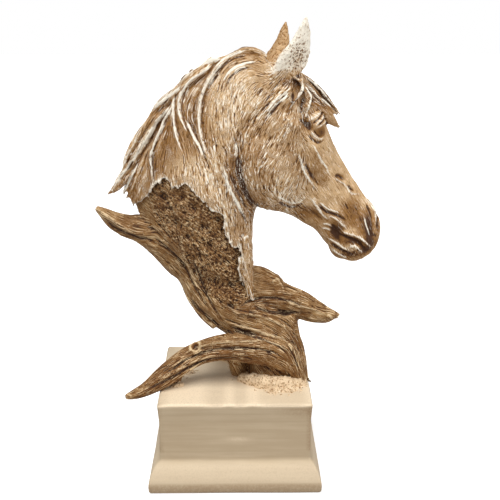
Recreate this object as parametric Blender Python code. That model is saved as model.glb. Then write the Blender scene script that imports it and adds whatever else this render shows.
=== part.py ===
"""Horse head sculpture: a cast horse's head and neck growing out of driftwood, on a moulded plinth.

Metres, +Z up. The origin is at the middle of the plinth's underside and the horse faces +X.
The figure is drawn on a grid DRAWN_HEIGHT units tall that stands on the plinth's top, with x
along the horse, y across it and z up. UNIT turns a drawn length into metres. The head is drawn
facing straight ahead and then turned away by HEAD_TURN.
"""

import math

import bmesh
import bpy
import numpy as np
from mathutils import Matrix, Vector
from mathutils.bvhtree import BVHTree

# Plinth sizes, in metres
PLINTH_WIDTH = 0.112
PLINTH_DEPTH = 0.112
PLINTH_HEIGHT = 0.069
FOOT_OVERHANG = 0.0085
FOOT_RISE = 0.0187
FOOT_WIDEST_Z = 0.005
FOOT_FULLNESS = 1.5
FOOT_TUCK = 0.0018
FOOT_TUCK_Z = 0.0016
TOP_LIP = 0.001
TOP_LIP_DROP = 0.014

# Figure sizes, in metres
FIGURE_HEIGHT = 0.273
SEAT_GAP = 0.0003

# The figure's drawing grid
DRAWN_HEIGHT = 273.0
UNIT = FIGURE_HEIGHT / DRAWN_HEIGHT
HEAD_TURN = math.radians(16)
HEAD_PIVOT_X = 20.0
VOXEL = 1.7
FIGURE_TRIANGLES = 9500

RESIN_COLOUR = (0.46, 0.31, 0.18, 1.0)
STONE_COLOUR = (0.66, 0.54, 0.41, 1.0)

# Head cross-sections from the back of the skull to the lips:
# top x, top z, bottom x, bottom z, then the half widths near the top, at the middle and low down
HEAD_SECTIONS = (
    (6, 236, 2, 146, 12, 18, 14),
    (22, 242, 14, 137, 15, 23, 15),
    (37, 239, 26, 132.5, 18, 25, 15),
    (50, 228, 36, 130, 20, 25.5, 14),
    (60.5, 211, 46, 125.5, 21, 23, 12),
    (68.5, 195, 54, 120, 17, 18.5, 11),
    (76.8, 179, 61, 116, 11, 15.5, 11),
    (85.5, 165, 66, 111.5, 8, 13.5, 10),
    (94.5, 151, 71, 105, 8, 13, 10),
    (103, 139, 77, 98, 9, 14, 10.5),
    (110.5, 129, 84, 91, 11, 16, 11.5),
    (115.5, 119.5, 92, 87, 11, 15, 11.5),
    (116.5, 110, 101, 88, 8, 12, 8),
    (113.5, 103, 107, 92, 4, 6, 4),
)
JAW_CENTRE = (24, 9.5, 171)
JAW_RADII = (34, 17, 33)
SOCKET_CENTRE = (52, 17, 199)
SOCKET_RADII = (11, 9, 9)
EYE_CENTRE = (53.6, 20.4, 196)
EYE_RADII = (5.2, 4.8, 4.6)
CHIN_CENTRE = (86.5, 0, 97.5)
CHIN_RADII = (11, 9.5, 8.5)
CHIN_TILT = math.radians(24)

# Neck cross-sections from inside the driftwood up to the poll
NECK_SECTIONS = (
    (-22, 80, 4, 66, 8, 12, 8),
    (-46, 96, 11, 82, 15, 23, 16),
    (-66, 112, 13.2, 104, 14, 27, 19),
    (-75, 131, 14.4, 126, 11, 29, 21),
    (-80, 157, 18, 140.5, 9, 29, 23),
    (-71, 187, 22, 152, 8, 26, 23),
    (-53, 211, 25, 167, 8, 24, 22),
    (-34, 230, 29, 184, 8, 22, 20),
    (-15, 243, 34, 200, 8, 19, 17),
    (4, 249, 38, 214, 8, 15, 13),
    (18, 249, 40, 224, 8, 12, 9),
)

# Driftwood limbs along their middles: x, y, z, radius
TRUNK = (
    (-70, 4, 116, 10),
    (-57, 5, 110, 13.5),
    (-42, 5, 97, 16),
    (-29, 4, 86, 17.5),
    (-15, 3, 69, 23),
    (-2, 2, 58.5, 23),
    (15, 1, 45, 22),
    (25, 0, 33, 22),
    (30, -1, 14, 20.5),
    (31, -2, -8, 23),
)
UPPER_BRANCH = (
    (-104, 3, 134, 1.9),
    (-98, 3, 129.6, 4.4),
    (-90, 3, 123.6, 7.2),
    (-80, 4, 119.4, 9),
    (-70, 4, 117, 11),
    (-56, 4, 108, 12),
)
FRONT_BRANCH = (
    (82, 2, 46.2, 1.9),
    (78, 2, 47.2, 3.6),
    (70, 2, 48.2, 7),
    (60, 1, 52, 9.6),
    (50, 0, 57.5, 11.3),
    (41, 0, 61, 11.8),
    (28, 0, 66, 13),
    (12, 0, 70, 16),
)
BRANCH_HUMP = ((8, 0, 80, 9), (18, 0, 79, 9.4), (26, 0, 75.5, 8.6), (32, 0, 70, 8), (37, 0, 64, 7))
BARK_SHARD = ((-37.5, -2, 70, 1.2), (-32, -4, 62, 3), (-24, -6, 52, 4), (-14, -8, 43, 4))
LEFT_ROOT = (
    (49, -12, -6, 6.5),
    (46.5, -14, 8, 8.5),
    (38.5, -15, 19.5, 11.5),
    (26, -16, 26.5, 12.5),
    (9, -18, 29, 11.5),
    (-8, -18, 29.6, 10.2),
    (-23, -17, 26, 9.2),
    (-36, -18, 20, 9),
    (-47, -23, 13.6, 8.6),
    (-57, -28, 7.2, 7.6),
    (-66, -33, 2.4, 5.6),
    (-75, -37, -0.4, 4),
    (-82, -40, -1.4, 2),
)
RIGHT_ROOT = ((40, -2, 50, 8), (43.5, -5, 34, 6), (46.5, -8, 16, 6), (49, -12, -4, 6))
BACK_ROOT = ((18, 8, 26, 10), (4, 20, 12, 8), (-10, 30, 3, 6), (-22, 36, -3, 3))
MIDDLE_FOOT = ((-4, -6, 24, 6), (0, -3, 14, 6.5), (6, 1, -4, 8))
ROOT_STUB = ((-40, -18, 16, 6), (-45, -18, 6, 4.6), (-46, -18, -4, 4.5))

# Grooves of the driftwood's grain: each limb, and how far off its middle they run in shares of its radius
GRAIN = (
    (TRUNK[:-2], (-0.75, -0.4, 0.0, 0.35)),
    (UPPER_BRANCH[1:], (-0.45, 0.4)),
    (FRONT_BRANCH[1:], (-0.5, 0.05, 0.6)),
    (LEFT_ROOT[2:-1], (-0.5, 0.0, 0.5)),
    (RIGHT_ROOT[1:], (0.2,)),
)

# Ear cross-sections: share of the way up, half width, depth of the cup
EAR_SECTIONS = (
    (0, 10, 7),
    (0.15, 12, 8),
    (0.3, 13.2, 8),
    (0.41, 12.2, 7.5),
    (0.53, 9.8, 6.5),
    (0.64, 7.9, 5.6),
    (0.76, 5.9, 4.6),
    (0.87, 3.8, 3.2),
    (0.95, 2, 2),
    (1, 0.9, 0.9),
)
EAR_BASE = (26, 14, 226)
EAR_TIP = (46.6, 20, 274)
EAR_BOW = 3.4
EAR_WALL = 4.2
EAR_TWIST = math.radians(14)

# The far ear is narrower, turned further round and carried lower
FAR_EAR_NARROWING = 0.8
FAR_EAR_TWIST = math.radians(45)
FAR_EAR_DROP = 5.0
FAR_EAR_SET_BACK = 1.5

# Mane locks as seen from the side, from root to tip: width, then x, z points
MANE_LOCKS = (
    (2.0, ((4, 246), (-6, 242), (-17, 231), (-22, 220), (-25, 205), (-23, 190), (-18, 178))),
    (1.8, ((-31, 203), (-30, 193), (-24, 181), (-21, 176))),
    (2.2, ((-8, 242), (-23, 233), (-37, 223), (-41, 214), (-41, 206), (-37, 198), (-32, 194))),
    (1.8, ((-40, 220), (-44, 210), (-45, 204), (-43, 196), (-41, 188), (-38, 179))),
    (2.0, ((-36, 217), (-45, 206), (-53, 190), (-58, 178), (-62, 172), (-62, 164), (-60, 155))),
    (2.6, ((-40, 219), (-53, 205), (-59, 196), (-67, 183), (-75, 171), (-81, 161), (-88, 152), (-94, 145))),
    (2.2, ((-26, 233), (-39, 223), (-50, 214.5), (-58, 207), (-65, 198))),
    (2.2, ((-14, 240), (-26, 233.5), (-38, 226), (-44, 219))),
    (2.4, ((24, 246), (14, 250), (4, 248.5), (-8, 242.5))),
    (2.6, ((-50, 210), (-62, 199), (-72, 186), (-79, 172), (-81, 160))),
    (2.2, ((-64, 178), (-70, 164), (-75, 151), (-81, 141))),
    (2.0, ((-66, 160), (-70, 147), (-74, 134))),
    (2.8, ((-72, 166), (-80, 157), (-87, 150), (-93, 145))),
)
LOCK_TIP = 1.4

# The strip of skin that runs down the throat over the wood: x, y, z and half width
STRIP = (
    (5, 15, 116, 5.5),
    (8, 14.5, 104, 5.5),
    (9, 14, 94, 5.2),
    (9.8, 14, 85, 4.4),
    (11.2, 14, 76, 3.2),
    (12.8, 14, 65, 1.6),
)

# Forelock strands over the brow in the head's own drawing: width, then x, y, z points
FORELOCK = (
    (4.2, ((26, 4, 246), (43, 5, 239), (56, 7, 229), (66, 7, 218), (74, 6, 208), (80, 5, 202))),
    (3.4, ((30, 2, 245), (45, 1, 237), (58, 2, 226), (68, 3, 211), (75, 2, 201), (81, 1, 195))),
    (3.2, ((30, 8, 243), (43, 14, 233), (53, 18, 221), (60, 20, 211), (68, 17, 203))),
    (2.8, ((28, 10, 240), (39, 18, 231), (45, 23, 220), (42, 26, 210), (35, 26, 204))),
)

# Strokes of the modelling tool seen from the side, drawn on both sides:
# height raised (or sunk when negative), half breadth, then x, z points
HEAD_STROKES = (
    (2.8, 4.0, ((45, 203), (49, 207), (54, 209), (59, 207.5), (63, 203))),
    (1.4, 2.0, ((45.5, 197), (47.9, 194), (51.5, 191.4), (55.7, 190.4), (59, 192))),
    (-1.4, 2.6, ((44.5, 194), (47.5, 190), (52, 187.6), (57, 187), (62, 189))),
    (-2.2, 5.5, ((34, 212), (37, 206))),
    (1.8, 3.6, ((50, 181), (57, 173), (63, 163), (67, 156))),
    (-1.6, 4.0, ((60, 181), (67, 169), (72, 159), (78, 150))),
    (1.5, 3.0, ((70, 154), (79, 148), (86, 143), (93, 141))),
    (-1.8, 3.6, ((48, 166), (54, 157), (62, 149), (70, 143))),
    (1.4, 3.4, ((40, 180), (44, 168), (48, 158), (52, 150))),
    (-2.2, 3.6, ((16, 214), (10, 202), (5, 188), (5, 172), (9, 156), (16, 144))),
    (-2.0, 5.0, ((46, 140), (54, 133), (62, 127))),
    (1.6, 3.0, ((56, 140), (65, 132), (74, 125), (82, 119))),
    (1.8, 2.4, ((77, 119.5), (79.8, 117.2), (85.8, 115.2), (91.3, 111.4), (96.4, 107.8), (105, 102))),
    (-2.8, 2.0, ((76, 116.5), (83, 112.9), (89.2, 109.1), (94.8, 103.4), (99, 99.6), (105, 97.5))),
    (1.4, 2.4, ((82, 107), (86, 105), (91, 101), (96, 97), (101, 94.5))),
    (-3.4, 3.2, ((108.5, 127.5), (109.5, 123), (109, 118), (107, 114.5))),
    (2.0, 2.2, ((100, 134.5), (103, 132), (104.5, 128), (104, 122), (102.4, 116.3))),
    (-1.6, 4.0, ((84, 132), (90, 127))),
    (-1.5, 3.6, ((72, 133), (80, 125), (86, 119))),
)
BODY_STROKES = (
    (-1.6, 3.0, ((4, 176), (5, 160), (8, 146), (15, 137))),
    (-1.2, 2.6, ((-1, 160), (5, 146), (11, 134))),
    (1.6, 3.0, ((-10, 40), (6, 40), (22, 34), (38, 27), (47, 14), (50, 2))),
    (-1.8, 2.4, ((-2, 45), (14, 42), (30, 38), (42, 28))),
    (-1.4, 2.0, ((-38, 66), (-31, 60), (-22, 52), (-13, 46))),
)
STROKE_LEVELLING = 1.8
GRAIN_DEPTH = 1.5
GRAIN_BREADTH = 1.7

# Pits eaten into the bare wood: x, z, radius
PITS = ((-30, 123, 5), (-15, 128, 5), (-8, 117, 5), (-3, 96, 5), (0, 68, 4), (-44, 128, 4))
PIT_DEPTH = 2.6

# The bare wood below the torn edge of the neck's skin, seen from the side
BARE_WOOD = (
    (-84, 146),
    (-62, 146),
    (-55, 157),
    (-49, 160),
    (-45, 154),
    (-34, 157),
    (-29, 151),
    (-19, 142),
    (-9, 136),
    (-8, 124),
    (-2, 110),
    (3, 106),
    (2, 92),
    (4, 84),
    (7, 74),
    (11, 66),
    (16, 60),
    (60, 60),
    (60, 0),
    (-110, 0),
)
TORN_DEPTH = 2.6
TORN_REACH = 16.0
TORN_LOWEST_Z = 58.0
TORN_FRONT_X = 16.0


def clear_scene():
    """Removes every object of the start-up scene."""
    for old in list(bpy.data.objects):
        bpy.data.objects.remove(old)


def make_material(name, colour, roughness):
    """A plain painted-resin material."""
    material = bpy.data.materials.new(name)
    material.use_nodes = True
    shader = material.node_tree.nodes["Principled BSDF"]
    shader.inputs["Base Color"].default_value = colour
    shader.inputs["Roughness"].default_value = roughness
    shader.inputs["Metallic"].default_value = 0.0
    return material


def make_object(name, mesh):
    """Links a mesh into the scene under a name."""
    obj = bpy.data.objects.new(name, mesh)
    bpy.context.scene.collection.objects.link(obj)
    return obj


def with_modifiers(mesh, *settings):
    """The mesh after a stack of modifiers, each a (type, {property: value}) pair."""
    obj = make_object("workpiece", mesh)
    for kind, values in settings:
        modifier = obj.modifiers.new(kind.title(), kind)
        for key, value in values.items():
            setattr(modifier, key, value)
    bpy.context.view_layer.update()
    graph = bpy.context.evaluated_depsgraph_get()
    finished = bpy.data.meshes.new_from_object(obj.evaluated_get(graph), depsgraph=graph)
    bpy.data.objects.remove(obj)
    return finished


def turned_head(x, y, z):
    """A point of the head's own drawing, turned away about the upright line through the poll."""
    along, across = x - HEAD_PIVOT_X, y
    cosine, sine = math.cos(HEAD_TURN), math.sin(HEAD_TURN)
    return Vector((HEAD_PIVOT_X + along * cosine - across * sine, along * sine + across * cosine, z))


def straight(x, y, z):
    """A point of the neck's and driftwood's drawing, which is not turned."""
    return Vector((x, y, z))


def smooth_route(points, steps):
    """Points along a smooth curve through the given ones, steps to each span."""
    knots = np.array(points, float)
    padded = np.vstack([2 * knots[0] - knots[1], knots, 2 * knots[-1] - knots[-2]])
    route = []
    for p0, p1, p2, p3 in zip(padded, padded[1:], padded[2:], padded[3:]):
        for t in np.linspace(0, 1, steps, endpoint=False):
            bend = (2 * p0 - 5 * p1 + 4 * p2 - p3) * t**2 + (3 * p1 - p0 - 3 * p2 + p3) * t**3
            route.append(0.5 * (2 * p1 + (p2 - p0) * t + bend))
    route.append(knots[-1])
    return np.array(route)


def bridge_rings(bm, rings):
    """Joins a row of point rings into one closed skin with a fan at each end."""
    rows = [[bm.verts.new(p) for p in ring] for ring in rings]
    for low, high in zip(rows, rows[1:]):
        count = len(low)
        for i in range(count):
            j = (i + 1) % count
            bm.faces.new((low[i], low[j], high[j], high[i]))
    for row, first in ((rows[0], True), (rows[-1], False)):
        middle = bm.verts.new(sum((v.co for v in row), Vector()) / len(row))
        for a, b in zip(row, row[1:] + row[:1]):
            bm.faces.new((b, a, middle) if first else (a, b, middle))


def section_ring(section, place, sides=28):
    """One cross-section, drawn between its top and bottom points."""
    top_x, top_z, bottom_x, bottom_z, wide_top, wide_middle, wide_low = section
    shoulder = 0.85
    round_off = 0.7
    thinnest = 1.0
    at_shoulder = (2 * math.sqrt(shoulder * (1 - shoulder))) ** round_off
    up, down = wide_top / at_shoulder, wide_low / at_shoulder
    ring = []
    for i in range(sides):
        angle = 2 * math.pi * (i + 0.5) / sides
        share = (1 + math.cos(angle)) / 2
        span = (share - 0.5) / (shoulder - 0.5)
        width = wide_middle + span * (up - down) / 2 + span**2 * ((up + down) / 2 - wide_middle)
        lateral = math.copysign(abs(math.sin(angle)) ** round_off, math.sin(angle)) * max(width, thinnest)
        x = bottom_x + (top_x - bottom_x) * share
        ring.append(place(x, lateral, bottom_z + (top_z - bottom_z) * share))
    return ring


def add_loft(bm, sections, place, steps=3):
    """A body through a row of cross-sections, eased between them."""
    bridge_rings(bm, [section_ring(s, place) for s in smooth_route(sections, steps)])


def add_limb(bm, stations, place=straight, sides=14, steps=4, flat=1.0):
    """A tapering round limb. A station is x, y, z and a radius; flat narrows it across."""
    route = smooth_route(stations, steps)
    rings = []
    side = Vector((0, 1, 0))
    for i, (x, y, z, radius) in enumerate(route):
        forward = Vector(route[min(i + 1, len(route) - 1)][:3] - route[max(i - 1, 0)][:3]).normalized()
        side = (side - forward * side.dot(forward)).normalized()
        up = forward.cross(side)
        radius = max(radius, 0.6)
        ring = []
        for k in range(sides):
            angle = 2 * math.pi * k / sides
            offset = side * (math.cos(angle) * radius * flat) + up * (math.sin(angle) * radius)
            ring.append(place(*(Vector((x, y, z)) + offset)))
        rings.append(ring)
    bridge_rings(bm, rings)


def add_ball(bm, centre, radii, place=straight, tilt=0.0):
    """An ellipsoid, tilted about the y axis."""
    shape = Matrix.Translation(centre) @ Matrix.Rotation(tilt, 4, "Y") @ Matrix.Diagonal((*radii, 1))
    made = bmesh.ops.create_uvsphere(bm, u_segments=20, v_segments=12, radius=1, matrix=shape)
    for vert in made["verts"]:
        vert.co = place(*vert.co)


def mirrored(point, side):
    """A point drawn for the far side, moved to the near one when side is -1."""
    return Vector((point[0], point[1] * side, point[2]))


def add_ear(bm, side):
    """A cupped ear whose hollow looks outwards and a little forwards."""
    base, tip = mirrored(EAR_BASE, side), mirrored(EAR_TIP, side)
    twist = EAR_TWIST
    narrowing = 1.0
    if side > 0:
        tip -= Vector((FAR_EAR_SET_BACK, 0, FAR_EAR_DROP))
        twist = FAR_EAR_TWIST
        narrowing = FAR_EAR_NARROWING
    up = (tip - base).normalized()
    across = Vector((math.cos(twist), -side * math.sin(twist), 0))
    across = (across - up * across.dot(up)).normalized()
    out = up.cross(across) * side
    arc = [math.pi * k / 8 for k in range(9)]
    rings = []
    for share, full_width, cup in smooth_route(EAR_SECTIONS, 3):
        middle = base.lerp(tip, share) + Vector((EAR_BOW * math.sin(math.pi * share), 0, 0))
        half_width = full_width * narrowing
        wall = min(EAR_WALL, half_width * 0.8)
        inner = max(half_width - wall * 0.6, 0.3)
        depth = max(cup - wall, 0.0)
        ring = []
        for angle in arc:
            ring.append(middle + across * (math.cos(angle) * half_width) - out * (math.sin(angle) * cup))
        lining = middle + out * 1.2
        for angle in reversed(arc):
            ring.append(lining + across * (math.cos(angle) * inner) - out * (math.sin(angle) * depth))
        rings.append([turned_head(*p) for p in ring])
    bridge_rings(bm, rings)


def rested_on(tree, points, side, lift):
    """A side-view line laid on the skin from the near side (-1) or the far one (1), as x, y, z points.

    Past the skin's outline the line eases in towards the middle plane.
    """
    line = smooth_route(points, 3)
    depths = []
    depth = side * 8.0
    for x, z in line:
        hit, _, _, _ = tree.ray_cast(Vector((x, side * 200, z)), Vector((0, -side, 0)))
        depth = depth * 0.8 if hit is None else hit.y + side * lift
        depths.append(depth)
    padded = np.array([depths[0], *depths, depths[-1]])
    eased = (padded[:-2] + padded[1:-1] + padded[2:]) / 3
    return [(x, y, z) for (x, z), y in zip(line, eased)]


def add_lock(bm, points, width, place=straight):
    """A lock of hair that swells and then runs out to a point."""
    count = len(points)
    stations = []
    for i, (x, y, z) in enumerate(points):
        share = i / (count - 1)
        swell = math.sin(math.pi * min(0.15 + 0.85 * share, 1.0)) ** 0.6 if share < 1 else 0.0
        stations.append((x, y, z, max(width * swell, LOCK_TIP)))
    add_limb(bm, stations, place, sides=10, steps=2)


def block_out():
    """The figure's main masses as overlapping closed skins."""
    bm = bmesh.new()
    add_loft(bm, HEAD_SECTIONS, turned_head)
    add_loft(bm, NECK_SECTIONS, straight)
    add_limb(bm, TRUNK, sides=20, flat=0.9)
    add_limb(bm, UPPER_BRANCH)
    add_limb(bm, FRONT_BRANCH, flat=0.8)
    for limb in (BRANCH_HUMP, BARK_SHARD, LEFT_ROOT, RIGHT_ROOT, BACK_ROOT, MIDDLE_FOOT, ROOT_STUB):
        add_limb(bm, limb)
    for side in (-1, 1):
        add_ball(bm, mirrored(JAW_CENTRE, side), JAW_RADII, turned_head)
        add_ball(bm, mirrored(SOCKET_CENTRE, side), SOCKET_RADII, turned_head)
    add_ball(bm, CHIN_CENTRE, CHIN_RADII, turned_head, tilt=CHIN_TILT)
    return bm


def add_hair(bm):
    """Lays the mane's locks and the forelock on the blocked-out figure."""
    bm.normal_update()
    tree = BVHTree.FromBMesh(bm)
    for side in (-1, 1):
        for width, points in MANE_LOCKS:
            add_lock(bm, rested_on(tree, points, side, -0.4), width)
        add_limb(bm, [(x, side * y, z, width) for x, y, z, width in STRIP], flat=0.7)
        for width, points in FORELOCK:
            add_lock(bm, smooth_route([(x, y * side, z) for x, y, z in points], 2), width, turned_head)
        add_ear(bm, side)
        add_ball(bm, mirrored(EYE_CENTRE, side), EYE_RADII, turned_head)
    bmesh.ops.recalc_face_normals(bm, faces=bm.faces)


def stroke_weight(x, z, line, breadth):
    """How much a stroke along a side-view line touches each point."""
    nearest = np.full(len(x), 1e9)
    route = smooth_route(line, 4) if len(line) > 2 else np.array(line, float)
    for (ax, az), (bx, bz) in zip(route, route[1:]):
        dx, dz = bx - ax, bz - az
        share = np.clip(((x - ax) * dx + (z - az) * dz) / (dx * dx + dz * dz), 0, 1)
        nearest = np.minimum(nearest, (x - ax - share * dx) ** 2 + (z - az - share * dz) ** 2)
    return np.exp(-nearest / breadth**2)


def grain_line(limb, share):
    """A side-view line that runs along a limb, off its middle by a share of its radius."""
    knots = np.array([(x, z, radius) for x, _, z, radius in limb], float)
    along = np.gradient(knots[:, :2], axis=0)
    along /= np.linalg.norm(along, axis=1)[:, None]
    sway = 1 + 0.25 * np.sin(np.arange(len(knots)) * 1.7 + share * 9)
    offset = share * sway * knots[:, 2]
    return tuple(zip(knots[:, 0] - along[:, 1] * offset, knots[:, 1] + along[:, 0] * offset))


def edge_distance(x, z, outline):
    """How far inside a closed side-view outline each point lies, negative outside."""
    nearest = np.full(len(x), 1e9)
    inside = np.zeros(len(x), bool)
    for (ax, az), (bx, bz) in zip(outline, outline[1:] + outline[:1]):
        dx, dz = bx - ax, bz - az
        share = np.clip(((x - ax) * dx + (z - az) * dz) / (dx * dx + dz * dz), 0, 1)
        nearest = np.minimum(nearest, (x - ax - share * dx) ** 2 + (z - az - share * dz) ** 2)
        crosses = (az > z) != (bz > z)
        level = (z - az) / dz if dz else 0.0
        inside ^= crosses & (x < ax + level * dx)
    return np.sqrt(nearest) * np.where(inside, 1, -1)


def in_head_drawing(points):
    """Points taken back to the head's own drawing."""
    cosine, sine = math.cos(HEAD_TURN), math.sin(HEAD_TURN)
    x, y = points[:, 0] - HEAD_PIVOT_X, points[:, 1]
    return np.column_stack([HEAD_PIVOT_X + x * cosine + y * sine, y * cosine - x * sine, points[:, 2]])


def model_surface(mesh):
    """Works the strokes, the torn edge and the pits into the skin."""
    count = len(mesh.vertices)
    points = np.empty(count * 3, np.float32)
    mesh.vertices.foreach_get("co", points)
    points = points.reshape(-1, 3).astype(float)
    normals = np.empty(count * 3, np.float32)
    mesh.vertex_normals.foreach_get("vector", normals)
    normals = normals.reshape(-1, 3).astype(float)
    sideways = np.clip(np.abs(normals[:, 1]) * STROKE_LEVELLING, 0, 1)
    head = in_head_drawing(points)
    raised = np.zeros(count)
    for height, breadth, line in HEAD_STROKES:
        raised += height * sideways * stroke_weight(head[:, 0], head[:, 2], line, breadth)
    for height, breadth, line in BODY_STROKES:
        raised += height * sideways * stroke_weight(points[:, 0], points[:, 2], line, breadth)
    for limb, shares in GRAIN:
        for share in shares:
            touch = stroke_weight(points[:, 0], points[:, 2], grain_line(limb, share), GRAIN_BREADTH)
            raised -= GRAIN_DEPTH * sideways * touch
    for x, z, radius in PITS:
        touch = stroke_weight(points[:, 0], points[:, 2], ((x, z), (x + 1, z + 1)), radius)
        raised -= PIT_DEPTH * sideways * touch
    inward = edge_distance(points[:, 0], points[:, 2], BARE_WOOD)
    recess = np.exp(-((np.maximum(inward, 0) / TORN_REACH) ** 2)) / (1 + np.exp(-inward / 0.6))
    torn = (points[:, 2] > TORN_LOWEST_Z) & (points[:, 0] < TORN_FRONT_X)
    raised -= TORN_DEPTH * sideways * recess * torn
    points += normals * raised[:, None]
    mesh.vertices.foreach_set("co", points.astype(np.float32).ravel())
    mesh.update()


def seat_cutter():
    """The room the plinth needs, with its clearance, as a block to cut away."""
    bm = bmesh.new()
    gap = SEAT_GAP / UNIT
    wide = PLINTH_WIDTH / UNIT + 2 * TOP_LIP / UNIT + 2 * gap
    deep = PLINTH_DEPTH / UNIT + 2 * TOP_LIP / UNIT + 2 * gap
    tall = 60.0
    shape = Matrix.Translation((0, 0, gap - tall / 2)) @ Matrix.Diagonal((wide, deep, tall, 1))
    bmesh.ops.create_cube(bm, size=1, matrix=shape)
    mesh = bpy.data.meshes.new("seat_cutter")
    bm.to_mesh(mesh)
    bm.free()
    return make_object("seat_cutter", mesh)


def make_figure():
    """The horse and driftwood as one closed casting."""
    bm = block_out()
    add_hair(bm)
    mesh = bpy.data.meshes.new("figure")
    bm.to_mesh(mesh)
    bm.free()
    mesh = with_modifiers(
        mesh,
        ("REMESH", {"mode": "VOXEL", "voxel_size": VOXEL}),
        ("SMOOTH", {"factor": 0.5, "iterations": 2}),
    )
    model_surface(mesh)
    faces = len(mesh.polygons) * 2
    cutter = seat_cutter()
    mesh = with_modifiers(
        mesh,
        ("DECIMATE", {"ratio": FIGURE_TRIANGLES / faces}),
        ("BOOLEAN", {"operation": "DIFFERENCE", "object": cutter, "solver": "EXACT"}),
    )
    bpy.data.objects.remove(cutter)
    mesh.transform(Matrix.Translation((0, 0, PLINTH_HEIGHT)) @ Matrix.Scale(UNIT, 4))
    return make_object("horse_and_driftwood", mesh)


def plinth_profile():
    """How far the plinth's side stands out at each height, from the underside up."""
    profile = [
        (FOOT_OVERHANG - FOOT_TUCK, 0.0),
        (FOOT_OVERHANG - 0.2 * FOOT_TUCK, FOOT_TUCK_Z),
        (FOOT_OVERHANG, FOOT_WIDEST_Z),
    ]
    steps = 8
    for i in range(1, steps + 1):
        rise = i / steps
        out = FOOT_OVERHANG * (1 - rise**FOOT_FULLNESS) ** (1 / FOOT_FULLNESS)
        profile.append((out, FOOT_WIDEST_Z + FOOT_RISE * rise))
    profile.append((0.0, PLINTH_HEIGHT - TOP_LIP_DROP))
    profile.append((TOP_LIP, PLINTH_HEIGHT - TOP_LIP))
    profile.append((0.0, PLINTH_HEIGHT))
    return profile


def make_plinth():
    """The plinth: a square block with a faint lip over a swelling foot."""
    bm = bmesh.new()
    rows = []
    for out, z in plinth_profile():
        x, y = PLINTH_WIDTH / 2 + out, PLINTH_DEPTH / 2 + out
        rows.append([bm.verts.new(corner) for corner in ((-x, -y, z), (x, -y, z), (x, y, z), (-x, y, z))])
    for low, high in zip(rows, rows[1:]):
        for i in range(4):
            j = (i + 1) % 4
            bm.faces.new((low[i], low[j], high[j], high[i]))
    bm.faces.new(rows[0][::-1])
    bm.faces.new(rows[-1])
    mesh = bpy.data.meshes.new("plinth")
    bm.to_mesh(mesh)
    bm.free()
    return make_object("plinth", mesh)


def main():
    clear_scene()
    figure = make_figure()
    figure.data.materials.clear()
    figure.data.materials.append(make_material("painted_resin", RESIN_COLOUR, 0.55))
    plinth = make_plinth()
    plinth.data.materials.append(make_material("stone_paint", STONE_COLOUR, 0.6))


main()
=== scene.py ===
"""Dresses the horse head sculpture: an antiqued resin horse growing out of driftwood, on a painted plinth.

The figure is drawn on a grid of units that stands on the plinth's top, with x along the horse, y across
it and z up. The horse's head is drawn facing straight ahead and then turned away. The body skins are
blocked out as overlapping lofts and limbs, fused, and then worked with strokes laid along their surface.
"""

import logging
import math
from dataclasses import dataclass, field
from enum import Enum
from typing import Callable, Iterable, Sequence

import bmesh
import bpy
import numpy as np
from mathutils import Matrix, Vector
from mathutils.bvhtree import BVHTree
from mathutils.kdtree import KDTree


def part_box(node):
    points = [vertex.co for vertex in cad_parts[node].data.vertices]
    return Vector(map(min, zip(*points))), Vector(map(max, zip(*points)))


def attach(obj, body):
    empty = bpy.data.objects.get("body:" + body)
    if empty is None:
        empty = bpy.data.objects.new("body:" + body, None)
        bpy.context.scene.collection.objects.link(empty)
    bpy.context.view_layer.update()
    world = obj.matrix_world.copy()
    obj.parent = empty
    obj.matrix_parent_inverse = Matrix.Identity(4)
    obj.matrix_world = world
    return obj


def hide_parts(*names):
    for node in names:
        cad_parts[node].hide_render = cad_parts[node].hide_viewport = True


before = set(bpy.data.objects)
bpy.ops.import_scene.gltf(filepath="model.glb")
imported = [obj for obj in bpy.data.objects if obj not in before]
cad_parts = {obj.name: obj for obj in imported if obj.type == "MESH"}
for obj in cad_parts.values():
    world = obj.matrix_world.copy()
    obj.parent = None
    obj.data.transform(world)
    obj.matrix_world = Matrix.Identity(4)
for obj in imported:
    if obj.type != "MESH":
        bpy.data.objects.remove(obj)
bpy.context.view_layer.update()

LOG = logging.getLogger("horse_head")
BODY = "root"
CASTING_NODE = "horse_and_driftwood"
PLINTH_NODE = "plinth"

OUTSIDE = 200.0

Point = tuple[float, ...]
Place = Callable[[float, float, float], Vector]


# Drawing grid and shared geometry


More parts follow.
